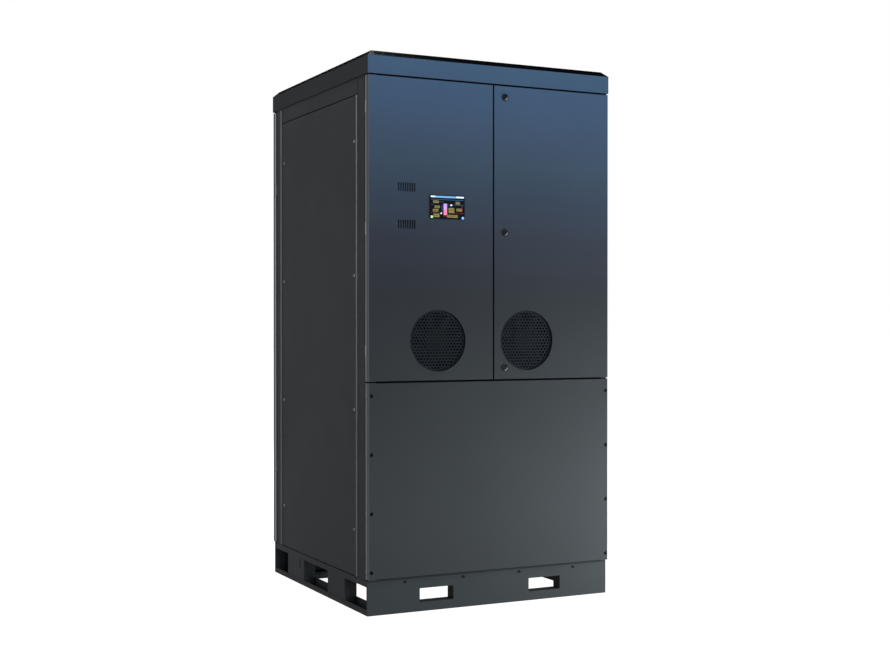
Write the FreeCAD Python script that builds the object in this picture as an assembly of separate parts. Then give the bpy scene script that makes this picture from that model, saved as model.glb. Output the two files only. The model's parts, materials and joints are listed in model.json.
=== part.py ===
import FreeCAD, Part
import math
import os

os.makedirs("parts", exist_ok=True)

# Coolant distribution unit: a floor-standing cabinet with pumps and a plate heat
# exchanger below and behind, and drives and controls behind its upper front doors.
# Millimetres, +Z up, front faces -Y, origin at the centre of the footprint on the floor.

Vector = FreeCAD.Vector

# ---------------------------------------------------------------- driving sizes

# Plinth
base_width = 998.0
base_depth = 990.0
base_height = 123.0
base_sheet = 4.0
base_beam = 48.0
drain_slot = 8.0
fork_pocket_width = 135.5
fork_pocket_height = 50.0
fork_pocket_bottom = 33.0
fork_pocket_spacing = 451.5
sleeve_wall = 3.0
side_opening_bottom = 20.0
side_opening_height = 82.0
side_opening_sill = 31.0
side_openings = ((-486.0, -280.5), (-110.5, 148.5), (333.0, 486.0))
side_slot_centre = 192.5
side_slot_width = 9.0
side_slot_bottom = 64.0
side_slot_height = 36.0
groove_height = 3.0
groove_depth = 1.5
cross_member_front = 265.0
cross_member_lip = 18.0

# Frame
post_inset_side = 1.5
post_inset_end = 25.5
post_across = 60.0
post_along = 63.0
post_wall = 3.0
post_lip = 5.5
post_lip_sheet = 2.5
post_lip_root = 1.0
post_lip_shift = 8.0
panel_landing = 38.0
rail_depth = 40.0
rail_wall = 2.5
band_seam = 3.5
band_seam_depth = 6.0
top_rail_height = 58.0
end_rail_height = 32.0
mid_rail_height = 38.0
mid_rail_drop = 20.0
cross_bar_depth = 30.0
mullion_width = 60.0
mullion_sheet = 3.0
mullion_web = 6.0
mullion_depth = 37.0

# Panels and doors
seam = 4.0
plinth_seam = 6.0
roof_seam = 5.0
lower_panel_height = 699.0
lower_panel_overhang = 0.5
door_height = 1087.0
door_thickness = 30.0
door_sheet = 2.0
door_lip = 16.0
door_overhang = 1.0
bend_radius = 3.0
leaf_gap = 3.0
door_post_gap = 10.0
side_panel_clearance = 0.3
side_panel_bottom_gap = 3.5
side_panel_return = 12.0

# Roof
roof_overhang = 5.5
fascia_height = 64.0
bevel_rise = 20.0
bevel_inset = 22.0
roof_sheet = 2.0
roof_lip = 45.0
vent_slot_length = 30.0
vent_slot_pitch = 40.0
vent_slot_height = 8.0

# Front doors' fittings
vent_rise = 144.5
vent_left = -227.6
vent_right = 140.7
vent_diameter = 223.0
guard_depth = 8.0
guard_sheet = 1.5
guard_flange = 240.0
hole_pitch = 12.7
hole_across_flats = 8.5
hole_edge = 1.0
fan_frame = 214.0
fan_bore = 204.0
fan_depth = 50.0
fan_flange = 240.0
fan_flange_sheet = 3.0
fan_end_play = 0.5
fan_hub_face = 3.0
fan_hub = 88.0
fan_hub_depth = 30.0
fan_tip_clearance = 3.0
fan_blades = 7
fan_blade_angle = 32.0
fan_blade_chord = 52.0
fan_blade_sheet = 3.0
fan_shaft = 10.0
fan_motor = 80.0
fan_motor_depth = 12.0
fan_strut = 12.0
running_clearance = 0.05
hmi_centre_x = -191.0
hmi_centre_z = 1460.0
hmi_width = 141.0
hmi_height = 85.0
hmi_bezel_proud = 3.0
hmi_border = 5.0
hmi_body_depth = 38.0
hmi_glass = 1.2
slot_field_x = -352.0
slot_field_heights = (1394.4, 1526.8)
slot_count = 8
slot_pitch = 9.0
slot_width = 4.5
slot_length = 31.0
lock_x = 48.0
lock_edge = 43.0
lock_head = 26.0
lock_proud = 3.0
lock_cup = 20.0
lock_cup_depth = 2.5
lock_core = 14.0
lock_core_proud = 0.8
lock_barrel = 20.0
lock_barrel_length = 22.0
lock_key = 3.0
lock_shank = 8.0
cam_reach = 26.0
cam_width = 14.0
cam_sheet = 3.0
cam_play = 2.0
bolt_diameter = 10.0
bolt_edge = 12.0
bolt_depth = 12.0
bolt_guide = 16.0
bolt_thumb = 34.0
bolt_thumb_sheet = 6.0
bolt_collar = 15.0
bolt_seat_gap = 0.3
bolt_rest = 1.0
bolt_handle_height = 1360.0
hinge_pin = 5.0
hinge_barrel = 8.0
hinge_inset = 4.0
hinge_length = 40.0
hinge_ear = 6.0
hinge_end_play = 0.5
front_hinge_edge = 110.0
rear_hinge_heights = (446.0, 1598.0)
rear_hinge_notch = 56.0

# Screws
lower_screw_inset = 10.5
lower_screw_first = 26.0
lower_screw_pitch = 209.0
lower_screw_count = 4
base_screw_columns = (117.2, 351.5)
base_screw_drop = 11.7
side_screw_column = 376.0
side_screw_heights = (293.0, 727.5, 1212.0, 1697.0)
screw_head = 10.0
screw_head_height = 2.5
screw_socket = 5.0
screw_recess = 14.0
screw_recess_depth = 8.0

# Hydraulics
tray_sheet = 3.0
tray_rim = 25.0
tray_side = 28.0
pipe_diameter = 88.9
pipe_bend = 90.0
pipe_columns = (60.0, 220.0)
pipe_rows = (120.0, 300.0)
stub_height = 80.0
stub_bore = 78.9
stub_bore_depth = 70.0
groove_width = 8.7
groove_back = 15.9
groove_cut = 2.1
collar_diameter = 120.0
collar_height = 8.0
pipe_hole_clearance = 0.3
exchanger_right = -160.0
exchanger_head = 30.0
exchanger_pack = 210.0
exchanger_plates = 21
exchanger_plate_sheet = 6.0
exchanger_core_inset = 7.0
exchanger_height = 1100.0
exchanger_foot = 34.0
port_edge_y = 80.0
port_edge_z = 110.0
exchanger_frame_margin = 12.0
tie_rod = 16.0
pump_x = 220.0
pump_height = 300.0
volute_diameter = 250.0
volute_front = -160.0
volute_depth = 84.0
pump_motor_diameter = 200.0
pump_motor_length = 240.0
pump_neck = 80.0
fan_cowl = 36.0
volute_neck_rise = 20.0
volute_foot_width = 140.0
volute_foot_inset = 12.0
motor_barrel = 172.0
motor_flange = 16.0
motor_fins = 12
motor_fin = 4.0
motor_box_width = 90.0
motor_box_length = 110.0
motor_box_height = 140.0
motor_box_setback = 60.0
motor_foot_width = 120.0
motor_foot_inset = 60.0
motor_foot_setback = 40.0
plinth_width = 640.0
plinth_depth = 310.0
plinth_height = 40.0
suction_header_y = -20.0
discharge_header_z = 600.0
header_cap = 60.0
return_drop = 480.0
feed_x = -65.0
valve_disc = 150.0
valve_body_depth = 46.0
valve_heights = (1300.0, 1500.0)
valve_stem = 14.0
valve_neck = 30.0
valve_neck_length = 88.0
valve_bore_clearance = 0.2
valve_stem_start = 6.0
valve_stem_play = 0.5
lever_seat = 4.0
lever_length = 170.0
lever_width = 22.0
lever_sheet = 8.0
lever_boss = 34.0
control_valve_height = 700.0
control_body = 150.0
control_body_length = 110.0
control_core = 130.0
control_flange = 170.0
control_length = 170.0
control_flange_sheet = 20.0
control_yoke = 40.0
control_yoke_reach = 120.0
actuator_size = 110.0
actuator_start = 100.0
strainer_height = 860.0
strainer_body = 120.0
strainer_length = 210.0
strainer_flange = 150.0
strainer_flange_sheet = 20.0
strainer_leg = 80.0
strainer_leg_start = 20.0
strainer_leg_reach = 130.0
strainer_leg_drop = 110.0
vessel_x = 350.0
vessel_y = 210.0
vessel_diameter = 150.0
vessel_height = 400.0
vessel_skirt = 100.0
vessel_round = 45.0
vessel_skirt_diameter = 105.0

# Electrical compartment
shelf_sheet = 3.0
mounting_sheet = 3.0
mounting_width = 850.0
mounting_back = -147.0
mounting_fold = 15.0
drive_width = 205.0
drive_height = 420.0
drive_depth = 185.0
drive_first_x = -370.0
drive_gap = 40.0
drive_top_gap = 64.0
drive_chamfer = 12.0
keypad_side = 60.0
keypad_top = 60.0
keypad_height = 110.0
keypad_recess = 6.0
louvre_side = 25.0
louvre_first = 40.0
louvre_count = 6
louvre_pitch = 18.0
louvre_height = 6.0
louvre_depth = 10.0
controller_x = 110.0
controller_width = 250.0
controller_height = 120.0
controller_depth = 75.0
controller_rise = 200.0
controller_modules = 6
controller_base = 20.0
controller_step = 12.0
controller_edge = 4.0
controller_gap = 0.5
breaker_x = -360.0
breaker_count = 16
breaker_width = 18.0
breaker_pitch = 18.2
breaker_height = 85.0
breaker_depth = 66.0
breaker_drop = 170.0
breaker_shoulder = 20.0
toggle_side = 5.0
toggle_bottom = 40.0
toggle_height = 12.0
duct_width = 40.0
duct_depth = 60.0
duct_side = 2.0
duct_foot = 120.0
duct_head = 20.0
duct_below_breakers = 90.0
duct_below_drives = 60.0
duct_joint = 0.3
rail_height = 35.0
rail_standoff = 7.5
rail_overrun = 10.0

# ---------------------------------------------------------------- derived levels

base_x = base_width / 2
base_y = base_depth / 2
beam_x = base_x - base_beam
beam_y = base_y - base_beam
post_x = base_x - post_inset_side
post_y = base_y - post_inset_end
post_inner_x = post_x - post_across
post_inner_y = post_y - post_along
panel_front_edge = post_inner_y - post_lip_shift
door_back = post_y + door_post_gap
door_face = door_back + door_thickness
skin_back = door_face - door_sheet

panel_bottom = base_height + plinth_seam
panel_top = panel_bottom + lower_panel_height
door_bottom = panel_top + seam
door_top = door_bottom + door_height
frame_top = door_top + roof_seam
top_rail_bottom = frame_top - top_rail_height
end_rail_bottom = frame_top - end_rail_height
mid_rail_bottom = panel_top - mid_rail_drop
mid_rail_top = mid_rail_bottom + mid_rail_height
side_panel_bottom = base_height + side_panel_bottom_gap
side_panel_top = top_rail_bottom - seam
roof_x = post_x + roof_overhang
roof_y = door_face
fascia_top = frame_top + fascia_height
roof_top = fascia_top + bevel_rise
tray_top = base_height + tray_sheet
plinth_top = tray_top + plinth_height
volute_back = volute_front + volute_depth
volute_top = pump_height + volute_diameter / 2 + volute_neck_rise
radius = pipe_diameter / 2
pipe_end = roof_top + stub_height
plate_front = mounting_back - mounting_sheet
cross_bar_front = plate_front - cross_bar_depth / 2
drive_bottom = top_rail_bottom - drive_top_gap - drive_height
controller_bottom = drive_bottom + controller_rise
breaker_bottom = drive_bottom - breaker_drop
shelf_top = mid_rail_top + shelf_sheet

door_width = base_x + door_overhang - leaf_gap / 2
hinge_x = base_x + door_overhang - hinge_inset
hinge_y = post_y + door_post_gap / 2
vent_height = door_bottom + vent_rise
guard_back = door_face - guard_depth - guard_sheet

# ---------------------------------------------------------------- helpers


def block(x0, x1, y0, y1, z0, z1):
    return Part.makeBox(x1 - x0, y1 - y0, z1 - z0, Vector(x0, y0, z0))


def rod(diameter, start, end):
    start = Vector(*start)
    along = Vector(*end) - start
    return Part.makeCylinder(diameter / 2, along.Length, start, along)


def fuse(shapes):
    first, *rest = shapes
    return first.fuse(rest).removeSplitter() if rest else first


def cut(shape, tools):
    return shape.cut(tools).removeSplitter()


def mirror_x(shape):
    return shape.mirror(Vector(0, 0, 0), Vector(1, 0, 0))


def mirror_y(shape):
    return shape.mirror(Vector(0, 0, 0), Vector(0, 1, 0))


def left_and_right(shape):
    return [shape, mirror_x(shape)]


def four_corners(shape):
    return [shape, mirror_x(shape), mirror_y(shape), mirror_x(mirror_y(shape))]


def ring(x, y, width, z0, z1):
    """A rectangular ring of the given width, measured inwards from half sizes x and y."""
    outer = block(-x, x, -y, y, z0, z1)
    return outer.cut(block(-x + width, x - width, -y + width, y - width, z0, z1))


def box_tube(x0, x1, y0, y1, z0, z1, wall, along):
    """A rectangular tube with its ends open along one axis."""
    grow = {axis: 0 if axis == along else -wall for axis in "xyz"}
    hollow = block(x0 - grow["x"], x1 + grow["x"], y0 - grow["y"], y1 + grow["y"],
                   z0 - grow["z"], z1 + grow["z"])
    return block(x0, x1, y0, y1, z0, z1).cut(hollow)


def edges_at(shape, y):
    """The edges that lie wholly in the upright plane at y."""
    return [edge for edge in shape.Edges if all(abs(v.Y - y) < 0.01 for v in edge.Vertexes)]


def polygon_prism(points, direction):
    wire = Part.makePolygon([Vector(*p) for p in points + [points[0]]])
    return Part.Face(wire).extrude(Vector(*direction))


nodes = {}


def add(name, *solids):
    nodes[name] = solids[0] if len(solids) == 1 else Part.makeCompound(list(solids))


# ---------------------------------------------------------------- plinth

side_opening_top = side_opening_bottom + side_opening_height
fork_pocket_top = fork_pocket_bottom + fork_pocket_height


def hollow_beams():
    """Four box beams, open to the floor through a drain slot along their inner walls."""
    solid = ring(base_x, base_y, base_beam, 0, base_height)
    chamber = ring(base_x - base_sheet, base_y - base_sheet, base_beam - 2 * base_sheet,
                   base_sheet, base_height - base_sheet)
    slot = ring(beam_x + base_sheet + drain_slot, beam_y + base_sheet + drain_slot,
                drain_slot, 0, base_sheet)
    return solid.cut([chamber, slot])


def fork_pockets(grow, z0, z1):
    """The volumes of the four fork pockets, each grown sideways by a wall."""
    half = fork_pocket_width / 2 + grow
    centre = fork_pocket_spacing / 2
    return four_corners(block(centre - half, centre + half, beam_y, base_y, z0, z1))


def side_jambs():
    """Upright plates that close the beam at both ends of each side opening."""
    jambs = []
    for start, end in side_openings:
        for y0 in (start - sleeve_wall, end):
            plate = block(beam_x + base_sheet, base_x - base_sheet, y0, y0 + sleeve_wall,
                          base_sheet, base_height - base_sheet)
            jambs += left_and_right(plate)
    return jambs


def side_cuts():
    """Openings, lifting slot and groove in the side beams' outer and inner walls."""
    tools = []
    for start, end in side_openings:
        tools.append(block(base_x - base_sheet, base_x, start, end,
                           side_opening_bottom, side_opening_top))
    for start, end in side_openings[:2]:
        tools.append(block(beam_x, beam_x + base_sheet, max(start, -beam_y), end,
                           side_opening_sill, side_opening_top))
    slot_half = side_slot_width / 2
    tools.append(block(base_x - base_sheet, base_x, side_slot_centre - slot_half,
                       side_slot_centre + slot_half, side_slot_bottom,
                       side_slot_bottom + side_slot_height))
    tools.append(block(base_x - groove_depth, base_x, side_openings[0][0],
                       side_openings[2][0], side_opening_bottom,
                       side_opening_bottom + groove_height))
    return tools + [mirror_x(tool) for tool in tools]


def cross_member():
    """The channel across the plinth under the heat exchanger, open where the forks pass."""
    front = cross_member_front
    back = front + base_beam
    body = block(-beam_x, beam_x, front, back, 0, base_height)
    inside = block(-beam_x, beam_x, front + base_sheet, back - base_sheet, 0,
                   base_height - base_sheet)
    inner_edge = (fork_pocket_spacing - fork_pocket_width) / 2
    window = block(inner_edge, beam_x - base_sheet, front, back, cross_member_lip,
                   side_opening_top)
    return body.cut([inside] + left_and_right(window))


def base_regions():
    """The volumes of the five beams that are welded into the plinth."""
    end = block(-base_x, base_x, beam_y, base_y, 0, base_height)
    side = block(beam_x, base_x, -beam_y, beam_y, 0, base_height)
    middle = block(-beam_x, beam_x, -beam_y, beam_y, 0, base_height)
    return [mirror_y(end), end, mirror_x(side), side, middle]


def base_frame():
    sleeves = fork_pockets(sleeve_wall, fork_pocket_bottom - sleeve_wall,
                           fork_pocket_top + sleeve_wall)
    frame = fuse([hollow_beams()] + sleeves + side_jambs() + [cross_member()])
    frame = cut(frame, fork_pockets(0, fork_pocket_bottom, fork_pocket_top) + side_cuts())
    return [frame.common(region) for region in base_regions()]


def pan_screw(point, direction):
    """A raised screw head with a square driving recess, seated at a point."""
    head = rod(screw_head, point, tuple(p + d * screw_head_height
                                        for p, d in zip(point, direction)))
    half = screw_socket / 2
    deep = screw_head_height / 2
    centre = [p + d * screw_head_height * 0.75 for p, d in zip(point, direction)]
    spans = []
    for c, d in zip(centre, direction):
        reach = deep / 2 if d else half
        spans += [c - reach, c + reach]
    return head.cut(block(*spans))


def base_screws():
    z = base_height - base_screw_drop
    front = [pan_screw((side * x, -base_y, z), (0, -1, 0))
             for x in base_screw_columns for side in (-1, 1)]
    return front + [mirror_y(screw) for screw in front]


def drip_tray():
    x = base_x - tray_side
    y = post_inner_y - side_panel_clearance
    plate = block(-x, x, -y, y, base_height, tray_top)
    rim = ring(x, y, tray_sheet, base_height, base_height + tray_rim)
    return fuse([plate, rim])


add("base_frame", *base_frame())
add("drip_tray", drip_tray())

# ---------------------------------------------------------------- frame


def corner_post(lip_top, lip_edge):
    """A rectangular tube with a landing for the side panel and a narrow outer lip."""
    tube = box_tube(post_inner_x, post_x, post_inner_y, post_y, base_height, frame_top,
                    post_wall, "z")
    landing = block(post_x - door_sheet - post_wall, post_x - door_sheet,
                    post_inner_y - panel_landing, post_inner_y,
                    side_panel_bottom, side_panel_top)
    lip = block(post_x, post_x + post_lip, lip_edge - post_lip_sheet, lip_edge + post_lip_root,
                side_panel_bottom, lip_top)
    return [tube, landing, lip]


def corner_posts():
    """The front posts' faces reach back over a cheek; the rear lips stand on the tubes."""
    rear = fuse(corner_post(frame_top - roof_seam, post_inner_y + post_lip_shift))
    cheek = block(post_x - post_wall, post_x, panel_front_edge, post_inner_y,
                  side_panel_bottom, side_panel_top)
    front = mirror_y(fuse(corner_post(side_panel_top, panel_front_edge) + [cheek]))
    return left_and_right(rear) + left_and_right(front)


def top_frame():
    z0 = top_rail_bottom
    side = box_tube(post_x - rail_depth, post_x, -post_inner_y, post_inner_y, z0, frame_top,
                    rail_wall, "y")
    side = side.cut(block(post_x - band_seam_depth, post_x, -post_inner_y,
                          -post_inner_y + band_seam, z0, frame_top))
    end = box_tube(-post_inner_x, post_inner_x, post_y - rail_depth, post_y,
                   end_rail_bottom, frame_top, rail_wall, "x")
    bar = box_tube(-post_x + rail_depth, post_x - rail_depth, cross_bar_front,
                   cross_bar_front + cross_bar_depth, z0, z0 + cross_bar_depth, rail_wall, "x")
    return left_and_right(side) + [end, mirror_y(end), bar]


def mid_frame():
    z0, z1 = mid_rail_bottom, mid_rail_top
    side_outer = post_x - side_panel_return - door_sheet
    side = box_tube(side_outer - rail_depth, side_outer, -post_inner_y, post_inner_y, z0, z1,
                    rail_wall, "y")
    front = box_tube(-post_inner_x, post_inner_x, -post_y, -post_y + rail_depth, z0, z1,
                     rail_wall, "x")
    bar = box_tube(-side_outer + rail_depth, side_outer - rail_depth, cross_bar_front,
                   cross_bar_front + cross_bar_depth, z1 - cross_bar_depth, z1, rail_wall, "x")
    return left_and_right(side) + [front, bar]


def mullion(z0):
    """A T-section that both leaves of a pair of doors close on."""
    half = mullion_width / 2
    flange = block(-half, half, -post_y, -post_y + mullion_sheet, z0, end_rail_bottom)
    web = block(-mullion_web / 2, mullion_web / 2, -post_y, -post_y + mullion_depth,
                z0, end_rail_bottom)
    return fuse([flange, web])


add("corner_posts", *corner_posts())
add("top_frame", *top_frame())
add("mid_frame", *mid_frame())
add("door_mullions", mullion(mid_rail_top), mirror_y(mullion(base_height)))

# ---------------------------------------------------------------- side and lower panels


def side_panel():
    x = post_x
    y = post_inner_y - side_panel_clearance
    skin = block(x - door_sheet, x, side_panel_clearance - panel_front_edge, y,
                 side_panel_bottom, side_panel_top)
    inner_y = y - panel_landing - seam
    returns = []
    for z0 in (side_panel_bottom, side_panel_top - door_sheet):
        returns.append(block(x - side_panel_return, x, -inner_y, inner_y, z0, z0 + door_sheet))
    return fuse([skin] + returns)


def side_panel_screws():
    screws = []
    for z in side_screw_heights:
        for side in (-1, 1):
            screws.append(pan_screw((post_x, side * side_screw_column, z), (1, 0, 0)))
    return screws + [mirror_x(screw) for screw in screws]


def lower_screw_points():
    x = base_x + lower_panel_overhang - lower_screw_inset
    for side in (-1, 1):
        for i in range(lower_screw_count):
            yield side * x, panel_bottom + lower_screw_first + i * lower_screw_pitch


def lower_front_panel():
    """A folded pan like the doors, held off the posts by the cups that take its screws."""
    half = base_x + lower_panel_overhang
    pan = block(-half, half, -door_face, -door_back, panel_bottom, panel_top)
    pan = pan.makeFillet(bend_radius, edges_at(pan, -door_face) + edges_at(pan, -door_back))
    inside = block(-half + door_sheet, half - door_sheet, -skin_back, -door_back - door_sheet,
                   panel_bottom + door_sheet, panel_top - door_sheet)
    back = block(-half + post_across / 2, half - post_across / 2, -door_back - door_sheet,
                 -door_back, panel_bottom + door_lip, panel_top - door_lip)
    cups = [rod(screw_recess + 2 * door_sheet, (x, -skin_back, z), (x, -post_y, z))
            for x, z in lower_screw_points()]
    bores = [rod(screw_recess, (x, -door_face, z), (x, -door_face + screw_recess_depth, z))
             for x, z in lower_screw_points()]
    return cut(fuse([pan.cut([inside, back])] + cups), bores)


def lower_panel_screws():
    y = -door_face + screw_recess_depth
    return [pan_screw((x, y, z), (0, -1, 0)) for x, z in lower_screw_points()]


add("side_panel_left", mirror_x(side_panel()))
add("side_panel_right", side_panel())
add("side_panel_screws", *side_panel_screws())
add("lower_front_panel", lower_front_panel())
add("panel_screws", *lower_panel_screws(), *base_screws())

# ---------------------------------------------------------------- bolts of the passive leaves


def bolt_axis():
    return -(leaf_gap / 2 + bolt_edge), -(door_back + bolt_depth)


def bolt_guide_bottoms():
    return bolt_handle_height + 2 * bolt_guide, door_top - 3 * bolt_guide


def bolt_guides():
    """Bored blocks on the skin's inner side that carry the rod."""
    x, y = bolt_axis()
    half = bolt_guide / 2
    return [block(x - half, x + half, -skin_back, y + half, z, z + bolt_guide)
            for z in bolt_guide_bottoms()]


def bolt_bore():
    x, y = bolt_axis()
    return rod(bolt_diameter + 2 * running_clearance, (x, y, bolt_handle_height),
               (x, y, frame_top + roof_sheet))


def bolt_rod():
    """A rod that slides up into the header, with a thumb piece towards the hinges."""
    x, y = bolt_axis()
    stem = rod(bolt_diameter, (x, y, bolt_handle_height - bolt_guide),
               (x, y, door_top - bolt_rest))
    thumb = block(x - bolt_thumb, x, y - bolt_thumb_sheet / 2, y + bolt_thumb_sheet / 2,
                  bolt_handle_height - bolt_guide, bolt_handle_height)
    seat = bolt_guide_bottoms()[0] + bolt_guide + bolt_seat_gap
    collar = rod(bolt_collar, (x, y, seat), (x, y, seat + bolt_thumb_sheet))
    return fuse([stem, thumb, collar])


# ---------------------------------------------------------------- roof


def pipe_positions():
    return [(x, y) for x in pipe_columns for y in pipe_rows]


def frustum(x, y, z0, z1, inset):
    """A rectangular block whose four sides lean inwards by the inset."""
    corners = ((-1, -1), (1, -1), (1, 1), (-1, 1))
    low = Part.makePolygon([Vector(i * x, j * y, z0) for i, j in corners + corners[:1]])
    high = Part.makePolygon([Vector(i * (x - inset), j * (y - inset), z1)
                             for i, j in corners + corners[:1]])
    return Part.makeLoft([low, high], True, True)


def rounded_column():
    """The cover's outline with bent corners, from the frame's top to the roof's."""
    column = block(-roof_x, roof_x, -roof_y, roof_y, frame_top, roof_top)
    upright = [edge for edge in column.Edges
               if abs(edge.Vertexes[0].Z - edge.Vertexes[1].Z) > 1.0]
    return column.makeFillet(bend_radius, upright)


def roof_cover():
    """Fascia on all sides, a bevel above it, a flat top and a lip that rests on the frame."""
    fascia = ring(roof_x, roof_y, roof_sheet, frame_top, fascia_top)
    lip = ring(roof_x, roof_y, roof_lip, frame_top, frame_top + roof_sheet)
    cap = frustum(roof_x, roof_y, fascia_top, roof_top, bevel_inset)
    slope = bevel_rise / bevel_inset
    open_z = roof_top - roof_sheet
    open_x = roof_x - roof_sheet * 1.5
    open_y = roof_y - roof_sheet * 1.5
    inside = frustum(open_x, open_y, fascia_top, open_z, (open_z - fascia_top) / slope)
    collar_top = roof_top + collar_height
    collars = [rod(collar_diameter, (x, y, open_z), (x, y, collar_top))
               for x, y in pipe_positions()]
    holes = [rod(pipe_diameter + 2 * pipe_hole_clearance, (x, y, open_z), (x, y, collar_top))
             for x, y in pipe_positions()]
    shell = cut(fuse([fascia, lip, cap]), [inside]).common(rounded_column())
    bolt_holes = [bolt_bore(), mirror_y(bolt_bore())]
    return cut(fuse([shell] + collars), holes + bolt_holes + bevel_slots())


def bevel_slots():
    """Ventilation slots punched square through the bevel, evenly spaced on each side."""
    tools = []
    middle = (fascia_top + roof_top) / 2
    for length, reach, turn in ((roof_x, roof_y, 0), (roof_y, roof_x, 90)):
        count = int((2 * (length - bevel_inset) - vent_slot_length) // vent_slot_pitch) + 1
        for i in range(count):
            along = (i - (count - 1) / 2) * vent_slot_pitch
            half = vent_slot_length / 2
            tool = block(along - half, along + half, -12.0, 12.0,
                         -vent_slot_height / 2, vent_slot_height / 2)
            tool.rotate(Vector(along, 0, 0), Vector(1, 0, 0), -math.degrees(
                math.atan2(bevel_inset, bevel_rise)))
            tool.translate(Vector(0, -reach + bevel_inset / 2, middle))
            for half_turn in (0, 180):
                copy = tool.copy()
                copy.rotate(Vector(0, 0, 0), Vector(0, 0, 1), turn + half_turn)
                tools.append(copy)
    return tools


add("roof_cover", roof_cover())

# ---------------------------------------------------------------- door parts


def door_pan(z0, z1):
    """The right leaf of a front pair: folded skin, returns and inner lips."""
    x0 = leaf_gap / 2
    x1 = x0 + door_width
    pan = block(x0, x1, -door_face, -door_back, z0, z1)
    pan = pan.makeFillet(bend_radius, edges_at(pan, -door_face) + edges_at(pan, -door_back))
    inside = block(x0 + door_sheet, x1 - door_sheet, -skin_back, -door_back - door_sheet,
                   z0 + door_sheet, z1 - door_sheet)
    back = block(x0 + door_lip, x1 - door_lip, -door_back - door_sheet, -door_back,
                 z0 + door_lip, z1 - door_lip)
    return pan.cut([inside, back])


def hinge_knuckle(z):
    """The door's half of a hinge: a bored barrel with a web into the door's return."""
    z0, z1 = z - hinge_length / 2, z + hinge_length / 2
    barrel = rod(hinge_barrel, (hinge_x, -hinge_y, z0), (hinge_x, -hinge_y, z1))
    web = block(hinge_x - 2.0, hinge_x + hinge_inset - 0.5, -door_back - door_sheet,
                -hinge_y - hinge_pin / 2 + 0.5, z0, z1)
    bore = rod(hinge_pin + 2 * running_clearance, (hinge_x, -hinge_y, z0),
               (hinge_x, -hinge_y, z1))
    return [barrel, web], bore


def hinge_bracket(z):
    """The cabinet's half: two ears on the post with the pin through them."""
    parts = []
    for side in (-1, 1):
        inner = z + side * (hinge_length / 2 + hinge_end_play)
        low, high = sorted((inner, inner + side * hinge_ear))
        parts.append(rod(hinge_barrel, (hinge_x, -hinge_y, low),
                         (hinge_x, -hinge_y, high)))
        parts.append(block(hinge_x - hinge_inset, hinge_x + 2.0, -hinge_y, -post_y, low, high))
    reach = hinge_length / 2 + hinge_end_play + hinge_ear
    parts.append(rod(hinge_pin, (hinge_x, -hinge_y, z - reach), (hinge_x, -hinge_y, z + reach)))
    return fuse(parts)


def hang(pan, heights, tools):
    """Adds the hinge barrels to a leaf and makes its cut-outs."""
    solids, bores = [pan], []
    for z in heights:
        pieces, bore = hinge_knuckle(z)
        solids += pieces
        bores.append(bore)
    return cut(fuse(solids), tools + bores)


front_hinge_heights = (door_bottom + front_hinge_edge, (door_bottom + door_top) / 2,
                       door_top - front_hinge_edge)
front_lock_heights = (door_bottom + lock_edge, (door_bottom + door_top) / 2,
                      door_top - lock_edge)
rear_lock_heights = (side_screw_heights[0], front_lock_heights[1])


def vent_opening(x):
    return rod(vent_diameter, (x, -door_face, vent_height), (x, -skin_back, vent_height))


def lock_holes(heights):
    return [rod(lock_barrel, (lock_x, -door_face, z), (lock_x, -skin_back, z)) for z in heights]


def slot_cuts():
    tools = []
    for z in slot_field_heights:
        for i in range(slot_count):
            x = slot_field_x + (i - (slot_count - 1) / 2) * slot_pitch
            tools.append(block(x - slot_width / 2, x + slot_width / 2, -door_face, -skin_back,
                               z - slot_length / 2, z + slot_length / 2))
    return tools


def hmi_body_size():
    return hmi_width / 2 - hmi_border, hmi_height / 2 - hmi_border


def front_door_left():
    half_x, half_z = hmi_body_size()
    window = block(hmi_centre_x - half_x, hmi_centre_x + half_x, -door_face, -skin_back,
                   hmi_centre_z - half_z, hmi_centre_z + half_z)
    leaf = mirror_x(hang(door_pan(door_bottom, door_top), front_hinge_heights, []))
    leaf = fuse([leaf] + bolt_guides())
    return cut(leaf, [vent_opening(vent_left), window, bolt_bore()] + slot_cuts())


def front_door_right():
    leaf = door_pan(door_bottom, door_top)
    return hang(leaf, front_hinge_heights, [vent_opening(vent_right)]
                + lock_holes(front_lock_heights))


def rear_leaf(locks):
    """A full-height rear leaf, built as a front one and turned to the back."""
    notches = [block(hinge_x - 1.0, base_x + 2.0, -door_face, -door_back - 8.0,
                     z - rear_hinge_notch / 2, z + rear_hinge_notch / 2)
               for z in rear_hinge_heights]
    return hang(door_pan(panel_bottom, door_top), rear_hinge_heights,
                notches + lock_holes(locks))


def rear_door_left():
    leaf = fuse([mirror_x(rear_leaf(()))] + bolt_guides())
    return mirror_y(leaf.cut(bolt_bore()))


def hinge_brackets():
    front = [hinge_bracket(z) for z in front_hinge_heights]
    rear = [mirror_y(hinge_bracket(z)) for z in rear_hinge_heights]
    return [half for bracket in front + rear for half in left_and_right(bracket)]


add("front_door_left", front_door_left())
add("front_door_right", front_door_right())
add("rear_door_left", rear_door_left())
add("rear_door_right", mirror_y(rear_leaf(rear_lock_heights)))
add("hinge_brackets", *hinge_brackets())
add("front_bolt_rod", bolt_rod())
add("rear_bolt_rod", mirror_y(bolt_rod()))

# ---------------------------------------------------------------- grilles


def hexagon(x, y, z, corner):
    angles = [math.radians(60 * k) for k in range(7)]
    return Part.makePolygon([Vector(x + corner * math.sin(a), y, z + corner * math.cos(a))
                             for a in angles])


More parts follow.
